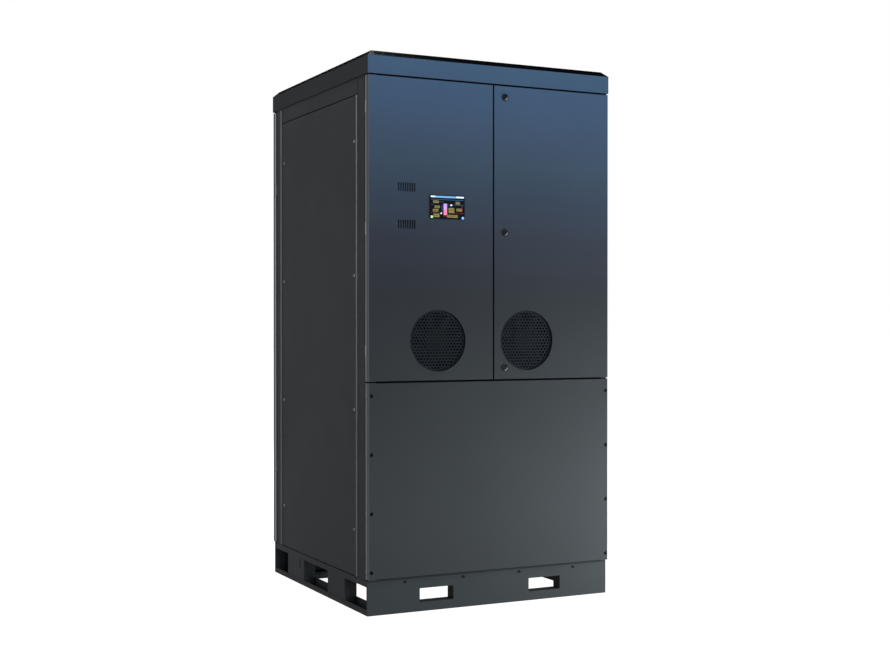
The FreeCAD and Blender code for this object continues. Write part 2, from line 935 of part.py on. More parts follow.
def perforated_floor(x):
    """A round sheet with a staggered field of hexagonal holes, cut by whole holes."""
    y, z = -guard_back - guard_sheet, vent_height
    row_pitch = hole_pitch * math.sqrt(3) / 2
    corner = hole_across_flats / math.sqrt(3)
    limit = vent_diameter / 2 - hole_edge - corner
    rows = int(limit // row_pitch)
    rim = Part.makeCircle(vent_diameter / 2 + guard_sheet, Vector(x, y, z), Vector(0, 1, 0))
    wires = [Part.Wire(rim)]
    for j in range(-rows, rows + 1):
        offset = hole_pitch / 2 if j % 2 else 0.0
        for i in range(-rows - 1, rows + 2):
            u, v = i * hole_pitch + offset, j * row_pitch
            if math.hypot(u, v) <= limit:
                wires.append(hexagon(x + u, y, z + v, corner))
    return Part.makeFace(wires, "Part::FaceMakerBullseye").extrude(Vector(0, guard_sheet, 0))


def fan_guard(x):
    """A dish behind the door's opening: flange, wall and perforated floor."""
    z = vent_height
    flange = rod(guard_flange, (x, -skin_back, z), (x, -skin_back + guard_sheet, z))
    wall = rod(vent_diameter + 2 * guard_sheet, (x, -skin_back, z), (x, -guard_back, z))
    bore = rod(vent_diameter, (x, -skin_back, z), (x, -guard_back, z))
    return fuse([fuse([flange, wall]).cut(bore), perforated_floor(x)])


add("vent_grille_left", fan_guard(vent_left))
add("vent_grille_right", fan_guard(vent_right))

# ---------------------------------------------------------------- fans


def fan_housing(x):
    """A flanged ring behind the guard, with rear struts, a motor and its shaft."""
    z = vent_height
    front, back = -guard_back, -guard_back + fan_depth
    flange = rod(fan_flange, (x, front, z), (x, front + fan_flange_sheet, z))
    barrel = rod(fan_frame, (x, front, z), (x, back, z))
    throat = rod(fan_bore, (x, front, z), (x, back, z))
    motor = rod(fan_motor, (x, back - fan_motor_depth, z), (x, back, z))
    strut = fan_strut / 2
    reach = (fan_bore + fan_frame) / 4
    struts = [block(x - reach, x + reach, back - strut, back, z - strut, z + strut),
              block(x - strut, x + strut, back - strut, back, z - reach, z + reach)]
    shaft = rod(fan_shaft, (x, fan_rotor_front() + fan_end_play, z), (x, back, z))
    return fuse([fuse([flange, barrel]).cut(throat), motor] + struts + [shaft])


def fan_rotor_front():
    """Where the blind bore of the hub ends."""
    return -guard_back + fan_depth - fan_motor_depth - fan_hub_depth - 2 * fan_end_play


def fan_rotor(x):
    """A closed hub on the shaft with pitched blades."""
    z = vent_height
    y0 = fan_rotor_front() - fan_hub_face
    y1 = y0 + fan_hub_depth
    hub = rod(fan_hub, (x, y0, z), (x, y1, z))
    inner = fan_hub / 2 - 6.0
    tip = fan_bore / 2 - fan_tip_clearance
    blades = []
    for k in range(fan_blades):
        blade = block(x + inner, x + tip, -fan_blade_sheet / 2, fan_blade_sheet / 2,
                      z - fan_blade_chord / 2, z + fan_blade_chord / 2)
        blade.translate(Vector(0, (y0 + y1) / 2, 0))
        blade.rotate(Vector(x, (y0 + y1) / 2, z), Vector(1, 0, 0), fan_blade_angle)
        blade.rotate(Vector(x, 0, z), Vector(0, 1, 0), k * 360.0 / fan_blades)
        blades.append(blade)
    sweep = rod(2 * tip, (x, y0 - fan_hub_depth, z), (x, y1 + fan_hub_depth, z))
    bore = rod(fan_shaft + 2 * running_clearance, (x, fan_rotor_front(), z), (x, y1, z))
    return fuse([hub] + blades).common(sweep).cut(bore)


for side, x in (("left", vent_left), ("right", vent_right)):
    add("fan_housing_" + side, fan_housing(x))
    add("fan_rotor_" + side, fan_rotor(x))

# ---------------------------------------------------------------- operator panel


def hmi_housing():
    """A body through the door's cut-out and a bezel over its edge, open for the glass."""
    half_x, half_z = hmi_body_size()
    y = -door_face
    body = block(hmi_centre_x - half_x + 0.3, hmi_centre_x + half_x - 0.3, y,
                 y + hmi_body_depth, hmi_centre_z - half_z + 0.3, hmi_centre_z + half_z - 0.3)
    bezel = block(hmi_centre_x - hmi_width / 2, hmi_centre_x + hmi_width / 2,
                  y - hmi_bezel_proud, y, hmi_centre_z - hmi_height / 2,
                  hmi_centre_z + hmi_height / 2)
    bezel = bezel.makeChamfer(hmi_bezel_proud / 2, edges_at(bezel, y - hmi_bezel_proud))
    return cut(fuse([body, bezel]), [hmi_glass_block(0)])


def hmi_glass_block(clearance):
    half_x = hmi_width / 2 - hmi_border - clearance
    half_z = hmi_height / 2 - hmi_border - clearance
    y = -door_face - hmi_bezel_proud
    return block(hmi_centre_x - half_x, hmi_centre_x + half_x, y, y + hmi_glass,
                 hmi_centre_z - half_z, hmi_centre_z + half_z)


add("hmi_housing", hmi_housing())
add("hmi_screen", hmi_glass_block(0.1))

# ---------------------------------------------------------------- locks


def lock_housing(z):
    """Barrel, head and nut of a quarter-turn lock on a front door."""
    y = -door_face
    head = rod(lock_head, (lock_x, y - lock_proud, z), (lock_x, y, z))
    barrel = rod(lock_barrel - 0.6, (lock_x, y, z), (lock_x, y + lock_barrel_length, z))
    corner = (lock_head + 2.0) / math.sqrt(3)
    points = [(lock_x + corner * math.cos(a), y + door_sheet, z + corner * math.sin(a))
              for a in (math.radians(60 * k) for k in range(6))]
    nut = polygon_prism(points, (0, 5.0, 0))
    bore = rod(lock_core + 2 * running_clearance, (lock_x, y - lock_proud, z),
               (lock_x, y + lock_barrel_length, z))
    cup = rod(lock_cup, (lock_x, y - lock_proud, z), (lock_x, y - lock_proud + lock_cup_depth, z))
    return cut(fuse([head, barrel, nut]), [bore, cup])


def lock_core_piece(z):
    """The turning core with a key way, a square shank and the cam, which hangs down."""
    y0 = -door_face - lock_proud + lock_cup_depth - lock_core_proud
    cam_front = -post_y + mullion_sheet + cam_play
    core = rod(lock_core, (lock_x, y0, z), (lock_x, -door_face + lock_barrel_length, z))
    half = lock_shank / 2
    shank = block(lock_x - half, lock_x + half, -door_face + lock_barrel_length, cam_front
                  + cam_sheet, z - half, z + half)
    cam = block(lock_x - cam_width / 2, lock_x + cam_width / 2, cam_front,
                cam_front + cam_sheet, z - cam_reach, z + cam_width / 2)
    key = block(lock_x - lock_key / 2, lock_x + lock_key / 2, y0, y0 + 4.0,
                z - lock_core / 2, z + lock_core / 2)
    return cut(fuse([core, shank, cam]), [key])


add("front_lock_housings", *[lock_housing(z) for z in front_lock_heights])
add("rear_lock_housings", *[mirror_y(lock_housing(z)) for z in rear_lock_heights])
for name, z in zip(("lower", "middle", "upper"), front_lock_heights):
    add("front_lock_" + name, lock_core_piece(z))
for name, z in zip(("lower", "upper"), rear_lock_heights):
    add("rear_lock_" + name, mirror_y(lock_core_piece(z)))

# ---------------------------------------------------------------- heat exchanger

exchanger_left = exchanger_right - exchanger_head - exchanger_pack - exchanger_head
port_y = (pipe_rows[0], pipe_rows[1])
exchanger_front = port_y[0] - port_edge_y
exchanger_back = port_y[1] + port_edge_y
exchanger_bottom = tray_top + exchanger_foot
exchanger_top = exchanger_bottom + exchanger_height
port_z = (exchanger_bottom + port_edge_z, exchanger_top - port_edge_z)


def exchanger_plate_pack():
    """The plate pack: a core with the plates' rims standing out all round."""
    x0 = exchanger_left + exchanger_head
    x1 = exchanger_right - exchanger_head
    inset = exchanger_core_inset
    solids = [block(x0, x1, exchanger_front + inset, exchanger_back - inset,
                    exchanger_bottom + inset, exchanger_top - inset)]
    pitch = (exchanger_pack - exchanger_plate_sheet) / (exchanger_plates - 1)
    for i in range(exchanger_plates):
        x = x0 + i * pitch
        solids.append(block(x, x + exchanger_plate_sheet, exchanger_front, exchanger_back,
                            exchanger_bottom, exchanger_top))
    return fuse(solids)


def exchanger_frame():
    """Head and follower plates on feet, tied together along both sides."""
    m = exchanger_frame_margin
    z1 = exchanger_top + m
    plates = [block(x, x + exchanger_head, exchanger_front - m, exchanger_back + m, tray_top, z1)
              for x in (exchanger_left, exchanger_right - exchanger_head)]
    ties = []
    for i in range(4):
        z = exchanger_bottom + port_edge_z + i * (port_z[1] - port_z[0]) / 3
        for y in (exchanger_front - tie_rod / 2, exchanger_back + tie_rod / 2):
            ties.append(rod(tie_rod, (exchanger_left - tie_rod, y, z), (exchanger_right, y, z)))
    ties = [tie.cut(block(exchanger_left, exchanger_right, exchanger_front, exchanger_back,
                          exchanger_bottom, exchanger_top)) for tie in ties]
    return fuse(plates + ties)


add("exchanger_plates", exchanger_plate_pack())
add("exchanger_frame", exchanger_frame())

# ---------------------------------------------------------------- pipework


def bend(corner, before, after):
    """A quarter of a torus round the corner, from one leg's direction to the other's."""
    start = corner + before
    centre = start + after
    disc = Part.Face(Part.Wire(Part.makeCircle(pipe_diameter / 2, start, before)))
    return disc.revolve(centre, after.cross(before), 90)


def pipe(points):
    """A round pipe along straight runs joined by quarter bends."""
    points = [Vector(*p) for p in points]
    start = points[0]
    runs = []
    for before, corner, after in zip(points, points[1:], points[2:]):
        back = (before - corner).normalize() * pipe_bend
        ahead = (after - corner).normalize() * pipe_bend
        runs += [rod(pipe_diameter, start, corner + back), bend(corner, back, ahead)]
        start = corner + ahead
    runs.append(rod(pipe_diameter, start, points[-1]))
    return fuse(runs)


def roof_stub(line, x, y):
    """Grooves and bores the pipe's open end above the roof."""
    top = pipe_end
    low, high = (x, y, top - groove_back - groove_width), (x, y, top - groove_back)
    groove = rod(pipe_diameter + groove_cut, low, high)
    groove = groove.cut(rod(pipe_diameter - 2 * groove_cut, low, high))
    bore = rod(stub_bore, (x, y, top - stub_bore_depth), (x, y, top))
    return line.cut([groove, bore])



def primary_supply():
    x, y = pipe_columns[1], pipe_rows[1]
    return roof_stub(pipe([(exchanger_right, y, port_z[0]), (x, y, port_z[0]),
                           (x, y, pipe_end)]), x, y)


def primary_return():
    x, y = pipe_columns[0], pipe_rows[1]
    return roof_stub(pipe([(exchanger_right, y, port_z[1]), (x, y, port_z[1]),
                           (x, y, pipe_end)]), x, y)


def secondary_supply():
    x, y = pipe_columns[1], pipe_rows[0]
    return roof_stub(pipe([(exchanger_right, y, port_z[0]), (x, y, port_z[0]),
                           (x, y, pipe_end)]), x, y)


def secondary_return():
    """From the roof down to the suction header and on to both pumps."""
    x, y = pipe_columns[0], pipe_rows[0]
    riser = pipe([(x, y, pipe_end), (x, y, return_drop), (x, suction_header_y, return_drop)])
    fall = rod(pipe_diameter, (x, suction_header_y, return_drop + radius),
               (x, suction_header_y, pump_height))
    header = rod(pipe_diameter, (-pump_x - header_cap, suction_header_y, pump_height),
                 (pump_x + header_cap, suction_header_y, pump_height))
    stubs = [rod(pump_neck, (side * pump_x, volute_back, pump_height),
                 (side * pump_x, suction_header_y, pump_height)) for side in (-1, 1)]
    return roof_stub(fuse([riser, fall, header] + stubs), x, y)


def pump_discharge():
    """Both pumps' outlets, their header and the feed to the heat exchanger."""
    y = (volute_front + volute_back) / 2
    z = discharge_header_z
    header = rod(pipe_diameter, (-pump_x - header_cap, y, z), (pump_x + header_cap, y, z))
    outlets = [rod(pump_neck, (side * pump_x, y, volute_top), (side * pump_x, y, z))
               for side in (-1, 1)]
    feed = pipe([(feed_x, y, z), (feed_x, port_y[0], z), (feed_x, port_y[0], port_z[1]),
                 (exchanger_right, port_y[0], port_z[1])])
    return fuse([header, feed] + outlets)


add("primary_supply_pipe", primary_supply())
add("primary_return_pipe", primary_return())
add("secondary_supply_pipe", secondary_supply())
add("secondary_return_pipe", secondary_return())
add("pump_discharge_pipe", pump_discharge())

# ---------------------------------------------------------------- pumps


def pump_volute(x):
    y0, y1 = volute_front, volute_back
    z = pump_height
    casing = rod(volute_diameter, (x, y0, z), (x, y1, z))
    neck = rod(pump_neck, (x, (y0 + y1) / 2, z), (x, (y0 + y1) / 2, volute_top))
    half = volute_foot_width / 2
    foot = block(x - half, x + half, y0 + volute_foot_inset, y1 - volute_foot_inset,
                 plinth_top, z)
    return fuse([casing, neck, foot])


def pump_motor(x):
    """A finned motor with a fan cowl, a terminal box and a foot."""
    z = pump_height
    back = volute_front
    front = back - pump_motor_length
    barrel = rod(motor_barrel, (x, front, z), (x, back, z))
    cowl = rod(pump_motor_diameter, (x, front, z), (x, front + fan_cowl, z))
    flange = rod(pump_motor_diameter, (x, back - motor_flange, z), (x, back, z))
    fins = []
    turn = 360.0 / motor_fins
    for k in range(motor_fins):
        fin = block(x - motor_fin / 2, x + motor_fin / 2, front + fan_cowl, back - motor_flange,
                    z, z + (pump_motor_diameter - motor_fin) / 2)
        fin.rotate(Vector(x, 0, z), Vector(0, 1, 0), turn * (k + 0.5))
        fins.append(fin)
    half = motor_box_width / 2
    box = block(x - half, x + half, back - motor_box_setback - motor_box_length,
                back - motor_box_setback, z, z + motor_box_height)
    half = motor_foot_width / 2
    foot = block(x - half, x + half, front + motor_foot_inset, back - motor_foot_setback,
                 plinth_top, z)
    return fuse([barrel, cowl, flange, box, foot] + fins)


def pump_plinth():
    y1 = volute_back
    y0 = y1 - plinth_depth
    x = plinth_width / 2
    shell = block(-x, x, y0, y1, tray_top, plinth_top)
    return shell.cut(block(-x, x, y0 + rail_wall, y1 - rail_wall, tray_top,
                           plinth_top - rail_wall))


add("pump_plinth", pump_plinth())
add("pump_volutes", *[pump_volute(side * pump_x) for side in (-1, 1)])
add("pump_motors", *[pump_motor(side * pump_x) for side in (-1, 1)])

# ---------------------------------------------------------------- valves and fittings


def valve_rows():
    """Row, height and stem reach of each pair of isolation valves."""
    return ((pipe_rows[0], valve_heights[0]), (pipe_rows[1], valve_heights[1]))


def pipe_bore(x, y, z0, z1):
    """The clearance that a fitting leaves round the pipe that runs through it."""
    return rod(pipe_diameter + 2 * valve_bore_clearance, (x, y, z0), (x, y, z1))


def isolation_valve(x, y, z):
    """A wafer valve round its pipe with a neck that carries the stem."""
    half = valve_body_depth / 2
    disc = rod(valve_disc, (x, y, z - half), (x, y, z + half))
    neck = rod(valve_neck, (x, y, z), (x, y + valve_neck_length - lever_seat, z))
    line = pipe_bore(x, y, z - valve_disc, z + valve_disc)
    stem_bore = rod(valve_stem + 2 * running_clearance, (x, y + radius + valve_stem_start, z),
                    (x, y + valve_neck_length, z))
    return fuse([disc, neck]).cut([line, stem_bore])


def valve_lever(x, y, z):
    """Stem, boss and handle; the handle lies along the pipe when the valve is open."""
    y0 = y + valve_neck_length - lever_seat + valve_stem_play
    y1 = y0 + lever_sheet
    stem = rod(valve_stem, (x, y + radius + valve_stem_start + valve_stem_play, z), (x, y0, z))
    boss = rod(lever_boss, (x, y0, z), (x, y1, z))
    arm = block(x - lever_width / 2, x + lever_width / 2, y0, y1, z, z + lever_length)
    return fuse([stem, boss, arm])


valve_places = [(x, y, z) for y, z in valve_rows() for x in pipe_columns]
valve_names = ("secondary_return", "secondary_supply", "primary_return", "primary_supply")

add("isolation_valves", *[isolation_valve(*place) for place in valve_places])
for name, place in zip(valve_names, valve_places):
    add("valve_lever_" + name, valve_lever(*place))


def flanges_round(x, y, z, length, diameter, sheet):
    """A pair of flanges at the two ends of a fitting that is centred on a height."""
    ends = [(z - length / 2, z - length / 2 + sheet), (z + length / 2 - sheet, z + length / 2)]
    return [rod(diameter, (x, y, low), (x, y, high)) for low, high in ends]


def control_valve():
    """A globe body on the primary supply with its yoke and square actuator."""
    x, y = pipe_columns[1], pipe_rows[1]
    z = control_valve_height
    half = control_body_length / 2
    body = rod(control_body, (x, y, z - half), (x, y, z + half))
    flanges = flanges_round(x, y, z, control_length, control_flange, control_flange_sheet)
    reach = control_length / 2
    core = rod(control_core, (x, y, z - reach), (x, y, z + reach))
    yoke = rod(control_yoke, (x, y, z), (x + control_yoke_reach, y, z))
    half = actuator_size / 2
    actuator = block(x + actuator_start, x + actuator_start + actuator_size, y - half, y + half,
                     z - half, z + half)
    bore = pipe_bore(x, y, z - control_length, z + control_length)
    body = fuse([body, core, yoke] + flanges).cut([bore, actuator])
    return body, actuator


def strainer():
    """An inline strainer on the secondary return with its slanted screen pocket."""
    x, y = pipe_columns[0], pipe_rows[0]
    z = strainer_height
    reach = strainer_length / 2
    sleeve = rod(strainer_body, (x, y, z - reach), (x, y, z + reach))
    flanges = flanges_round(x, y, z, strainer_length, strainer_flange, strainer_flange_sheet)
    leg = rod(strainer_leg, (x, y, z + strainer_leg_start),
              (x, y - strainer_leg_reach, z - strainer_leg_drop))
    bore = pipe_bore(x, y, z - strainer_length, z + strainer_length)
    return fuse([sleeve, leg] + flanges).cut(bore)


def expansion_vessel():
    """A vessel with rounded ends on a skirt that stands in the tray."""
    base = tray_top + vessel_skirt
    shell = rod(vessel_diameter, (vessel_x, vessel_y, base),
                (vessel_x, vessel_y, base + vessel_height))
    rims = [edge for edge in shell.Edges if len(edge.Vertexes) == 1]
    shell = shell.makeFillet(vessel_round, rims)
    skirt = rod(vessel_skirt_diameter, (vessel_x, vessel_y, tray_top),
                (vessel_x, vessel_y, base + vessel_round))
    return fuse([skirt, shell])


valve_body, valve_actuator = control_valve()
add("control_valve", valve_body)
add("control_valve_actuator", valve_actuator)
add("strainer", strainer())
add("expansion_vessel", expansion_vessel())

# ---------------------------------------------------------------- electrical compartment

def equipment_shelf():
    x = post_x - side_panel_return - 2 * door_sheet
    y0 = -post_inner_y + door_sheet
    y1 = cross_bar_front + cross_bar_depth
    plate = block(-x, x, y0, y1, mid_rail_top, shelf_top)
    lip = block(-x, x, y0, y0 + shelf_sheet, mid_rail_top, shelf_top + tray_rim)
    return fuse([plate, lip])


def mounting_plate():
    x = mounting_width / 2
    sheet = block(-x, x, plate_front, mounting_back, shelf_top, top_rail_bottom)
    folds = [block(s, s + mounting_sheet, plate_front, mounting_back + mounting_fold, shelf_top,
                   top_rail_bottom) for s in (-x, x - mounting_sheet)]
    return fuse([sheet] + folds)


def drive(x):
    """A pump drive: sloped cover with a keypad recess and cooling louvres."""
    y0 = plate_front - drive_depth
    x1 = x + drive_width
    z0 = drive_bottom
    z1 = z0 + drive_height
    body = block(x, x1, y0, plate_front, z0, z1)
    body = body.makeChamfer(drive_chamfer, edges_at(body, y0))
    keypad = block(x + keypad_side, x1 - keypad_side, y0, y0 + keypad_recess,
                   z1 - keypad_top - keypad_height, z1 - keypad_top)
    louvres = []
    for i in range(louvre_count):
        z = z0 + louvre_first + i * louvre_pitch
        louvres.append(block(x + louvre_side, x1 - louvre_side, y0, y0 + louvre_depth,
                             z, z + louvre_height))
    return body.cut([keypad] + louvres)


def controller():
    """A rack controller: a base and a row of modules of alternating depth."""
    x0, z0 = controller_x, controller_bottom
    z1 = z0 + controller_height
    width = controller_width / controller_modules
    parts = [block(x0, x0 + controller_width, plate_front - controller_base, plate_front,
                   z0, z1)]
    for i in range(controller_modules):
        depth = controller_depth - (controller_step if i % 2 else 0.0)
        parts.append(block(x0 + i * width + controller_gap, x0 + (i + 1) * width - controller_gap,
                           plate_front - depth, plate_front - controller_base / 2,
                           z0 + controller_edge, z1 - controller_edge))
    return fuse(parts)


def breaker(x):
    """A circuit breaker with its stepped front and toggle."""
    back = plate_front - rail_standoff
    shoulder, nose = back - breaker_depth * 0.65, back - breaker_depth * 0.9
    z0 = breaker_bottom
    z1 = z0 + breaker_height
    low, high = z0 + breaker_shoulder, z1 - breaker_shoulder
    profile = [(x, back, z0), (x, shoulder, z0), (x, shoulder, low), (x, nose, low),
               (x, nose, high), (x, shoulder, high), (x, shoulder, z1), (x, back, z1)]
    body = polygon_prism(profile, (breaker_width, 0, 0))
    toggle = block(x + toggle_side, x + breaker_width - toggle_side, back - breaker_depth,
                   nose + toggle_side / 2, z0 + toggle_bottom, z0 + toggle_bottom + toggle_height)
    return fuse([body, toggle])


def din_rail():
    z = breaker_bottom + breaker_height / 2
    x0 = breaker_x - rail_overrun
    x1 = breaker_x + breaker_count * breaker_pitch + rail_overrun
    return block(x0, x1, plate_front - rail_standoff, plate_front, z - rail_height / 2,
                 z + rail_height / 2)


def cable_ducts():
    """Closed trunking: two uprights and two crossings between them."""
    outer = mounting_width / 2 - mounting_sheet - duct_side
    inner = outer - duct_width
    y0 = plate_front - duct_depth
    upright = block(inner, outer, y0, plate_front, shelf_top + duct_foot,
                    top_rail_bottom - duct_head)
    crossings = [block(-inner + duct_joint, inner - duct_joint, y0, plate_front, z, z + duct_width)
                 for z in (breaker_bottom - duct_below_breakers, drive_bottom - duct_below_drives)]
    return left_and_right(upright) + crossings


add("equipment_shelf", equipment_shelf())
add("mounting_plate", mounting_plate())
add("pump_drives", *[drive(drive_first_x + i * (drive_width + drive_gap)) for i in range(2)])
add("controller", controller())
add("circuit_breakers", *[breaker(breaker_x + i * breaker_pitch) for i in range(breaker_count)])
add("din_rail", din_rail())
add("cable_ducts", *cable_ducts())

# ---------------------------------------------------------------- output

for name, shape in nodes.items():
    shape.exportStep("parts/" + name + ".step")
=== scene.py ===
import json
import math
import bpy
import bmesh
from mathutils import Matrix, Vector


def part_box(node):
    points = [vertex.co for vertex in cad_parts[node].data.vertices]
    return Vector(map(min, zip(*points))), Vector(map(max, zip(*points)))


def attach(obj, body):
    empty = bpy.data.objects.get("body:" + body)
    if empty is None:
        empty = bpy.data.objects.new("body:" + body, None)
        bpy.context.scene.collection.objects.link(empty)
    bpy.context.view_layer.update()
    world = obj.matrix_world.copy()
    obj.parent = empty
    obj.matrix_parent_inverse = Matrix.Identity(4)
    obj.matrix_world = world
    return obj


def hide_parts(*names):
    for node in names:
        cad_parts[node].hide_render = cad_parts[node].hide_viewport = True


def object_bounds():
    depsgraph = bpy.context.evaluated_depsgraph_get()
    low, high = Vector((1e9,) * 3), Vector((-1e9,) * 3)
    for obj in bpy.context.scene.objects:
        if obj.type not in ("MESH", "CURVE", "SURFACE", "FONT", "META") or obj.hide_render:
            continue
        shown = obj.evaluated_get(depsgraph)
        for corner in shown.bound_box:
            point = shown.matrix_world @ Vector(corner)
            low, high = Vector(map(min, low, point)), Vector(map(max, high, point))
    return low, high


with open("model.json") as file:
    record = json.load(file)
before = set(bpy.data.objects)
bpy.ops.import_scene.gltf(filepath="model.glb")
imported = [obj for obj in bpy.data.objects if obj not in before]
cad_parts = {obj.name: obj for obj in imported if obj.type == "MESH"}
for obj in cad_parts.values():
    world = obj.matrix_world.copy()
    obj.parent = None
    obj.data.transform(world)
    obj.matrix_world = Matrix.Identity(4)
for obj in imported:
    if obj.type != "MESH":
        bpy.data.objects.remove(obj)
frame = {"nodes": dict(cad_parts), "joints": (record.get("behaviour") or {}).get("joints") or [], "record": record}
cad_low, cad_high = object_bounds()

MM = 0.001
NODES = frame["nodes"]
JOINTS = {joint["name"]: joint for joint in frame["joints"]}

# ------------------------------------------------------------------ camera

CAMERA_PLACE = (-2.393, -4.9635, 1.030)
CAMERA_TURN = 26.22
CAMERA_DOWN = 0.335

camera_data = bpy.data.cameras.new("camera")
camera_data.lens = 55.38
camera_data.sensor_width = 36.0
camera_data.sensor_fit = "HORIZONTAL"
camera = bpy.data.objects.new("camera", camera_data)
camera.location = CAMERA_PLACE
camera.rotation_euler = (math.radians(90 - CAMERA_DOWN), 0.0, -math.radians(CAMERA_TURN))
bpy.context.scene.collection.objects.link(camera)
bpy.context.scene.camera = camera

# ------------------------------------------------------------------ sizes from the frame

door_low, door_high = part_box("front_door_left")
rear_low, rear_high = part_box("rear_door_left")
panel_low, panel_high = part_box("lower_front_panel")
side_low, side_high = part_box("side_panel_left")
plinth_low, plinth_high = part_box("base_frame")
roof_low, roof_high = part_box("roof_cover")
housing_low, housing_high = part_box("hmi_housing")
screen_low, screen_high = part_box("hmi_screen")

DOOR_X = -door_low[0]
DOOR_Y = -door_low[1]
REAR_X = -rear_low[0]
HINGE_X = -JOINTS["rear_left_hinge"]["pos_m"][0]
LOCKS = [joint["pos_m"] for name, joint in JOINTS.items()
         if name.startswith("front_") and name.endswith("_lock_turn")]

# Sizes that no box gives: folds and bevel, bolts, hinge notches, and the slots' two fields
# with the gauze behind them.
DOOR_FOLD = 30 * MM
DOOR_SHEET = 2.0 * MM
FASCIA = 64 * MM
BEVEL_IN = 22 * MM
BEVEL_UP = 20 * MM
BOLT_X = -13.5 * MM
NOTCH_HEIGHTS = (446 * MM, 1598 * MM)
FIELD_X = -352 * MM
FIELD_HEIGHTS = (1394.4 * MM, 1526.8 * MM)
GAUZE_W = 72 * MM
GAUZE_H = 34 * MM
GAUZE_THICK = 1.2 * MM

# ------------------------------------------------------------------ shader helpers


def srgb(*values):
    """Linear colour of an 8-bit sRGB one."""
    out = []
    for v in values:
        c = v / 255.0
        out.append(c / 12.92 if c <= 0.04045 else ((c + 0.055) / 1.055) ** 2.4)
    return tuple(out) + (1.0,)


def tones(stops, top=1.0):
    """Ramp stops from (place, sRGB colour) pairs, with the places as shares of the top."""
    return [(place / top, srgb(*colour)) for place, colour in stops]


class Tree:
    """A node tree with short calls."""

    def __init__(self, owner, output):
        owner.use_nodes = True
        self.tree = owner.node_tree
        self.tree.nodes.clear()
        self.out = self.tree.nodes.new(output)

    def put(self, value, socket):
        """Links a socket to the input, or gives the input a constant."""
        if isinstance(value, bpy.types.NodeSocket):
            self.tree.links.new(value, socket)
        else:
            socket.default_value = value

    def node(self, kind, inputs=None, **settings):
        made = self.tree.nodes.new(kind)
        for key, value in settings.items():
            setattr(made, key, value)
        for key, value in (inputs or {}).items():
            self.put(value, made.inputs[key])
        return made

    def maths(self, operation, a, b=0.0):
        return self.node("ShaderNodeMath", {0: a, 1: b}, operation=operation).outputs[0]

    def seen(self):
        """1 on the rays that show what stands behind the object, else 0."""
        path = self.node("ShaderNodeLightPath")
        seen = self.maths("MAXIMUM", path.outputs["Is Camera Ray"], path.outputs["Is Glossy Ray"])
        return self.maths("MAXIMUM", seen, path.outputs["Is Transmission Ray"])

    def blend(self, factor, a, b):
        """The first shader where the factor is 0, and the second where it is 1."""
        return self.node("ShaderNodeMixShader", {0: factor, 1: a.outputs[0], 2: b.outputs[0]})

    def show(self, shader):
        """Makes the shader the one that the material or world ends in."""
        self.tree.links.new(shader.outputs[0], self.out.inputs["Surface"])


class Surface(Tree):
    """A material's node tree."""

    def __init__(self, name):
        self.material = bpy.data.materials.new(name)
        super().__init__(self.material, "ShaderNodeOutputMaterial")
        coordinates = self.node("ShaderNodeTexCoord")
        self.place = coordinates.outputs["Object"]
        self.normal = coordinates.outputs["Normal"]

    def axis(self, name):
        return self.node("ShaderNodeSeparateXYZ", {"Vector": self.place}).outputs[name]

    def facing(self, name):
        return self.node("ShaderNodeSeparateXYZ", {"Vector": self.normal}).outputs[name]

    def times(self, a, b):
        return self.maths("MULTIPLY", a, b)

    def absolute(self, value):
        return self.maths("ABSOLUTE", value)

    def opposite(self, value):
        """1 where the mask is 0, and 0 where it is 1."""
        return self.maths("SUBTRACT", 1.0, value)

    def over(self, value, limit):
        return self.maths("GREATER_THAN", value, limit)

    def under(self, value, limit):
        return self.maths("LESS_THAN", value, limit)

    def between(self, value, low, high):
        """1 where the value lies between the two limits, else 0."""
        return self.times(self.over(value, low), self.under(value, high))

    def span(self, value, low, high, from_low=0.0, from_high=1.0):
        return self.node("ShaderNodeMapRange", {"Value": value, "From Min": from_low,
                                                "From Max": from_high, "To Min": low,
                                                "To Max": high}).outputs[0]

    def noise(self, scale, detail=3.0, place=None):
        return self.node("ShaderNodeTexNoise", {"Vector": place or self.place, "Scale": scale,
                                                "Detail": detail,
                                                "Roughness": 0.55}).outputs["Fac"]

    def lines(self, scale, detail=3.0):
        """Noise drawn out by a scale of its own along each axis."""
        place = self.node("ShaderNodeMapping", {"Vector": self.place, "Scale": scale}).outputs[0]
        return self.noise(1.0, detail, place)

    def ramp(self, value, stops):
        made = self.node("ShaderNodeValToRGB", {"Fac": value})
        elements = made.color_ramp.elements
        elements[0].position, elements[0].color = stops[0]
        elements[1].position, elements[1].color = stops[-1]
        for position, colour in stops[1:-1]:
            elements.new(position).color = colour
        return made.outputs["Color"]

    def mix(self, factor, a, b, blend="MIX"):
        made = self.node("ShaderNodeMix", data_type="RGBA", blend_type=blend)
        for socket, value in ((0, factor), (6, a), (7, b)):
            self.put(value, made.inputs[socket])
        return made.outputs[2]

    def shaded(self, colour, shade):
        return self.mix(1.0, colour, shade, "MULTIPLY")

    def bump(self, height, strength, distance, normal=None):
        inputs = {"Height": height, "Strength": strength, "Distance": distance}
        if normal is not None:
            inputs["Normal"] = normal
        return self.node("ShaderNodeBump", inputs).outputs["Normal"]

    def finish(self, **inputs):
        """Ends the material in a Principled shader with these inputs, and returns it."""
        self.show(self.node("ShaderNodeBsdfPrincipled",
                            {key.replace("_", " "): value for key, value in inputs.items()}))
        return self.material


WHITE = (1.0, 1.0, 1.0, 1.0)


def varied(n, colour, amount, scale):
    """The colour with a soft, cloudy change of lightness."""
    dark = tuple(c * (1 - amount) for c in colour[:3]) + (1.0,)
    light = tuple(c * (1 + amount) for c in colour[:3]) + (1.0,)
    return n.ramp(n.noise(scale, 4.0), ((0.3, dark), (0.7, light)))


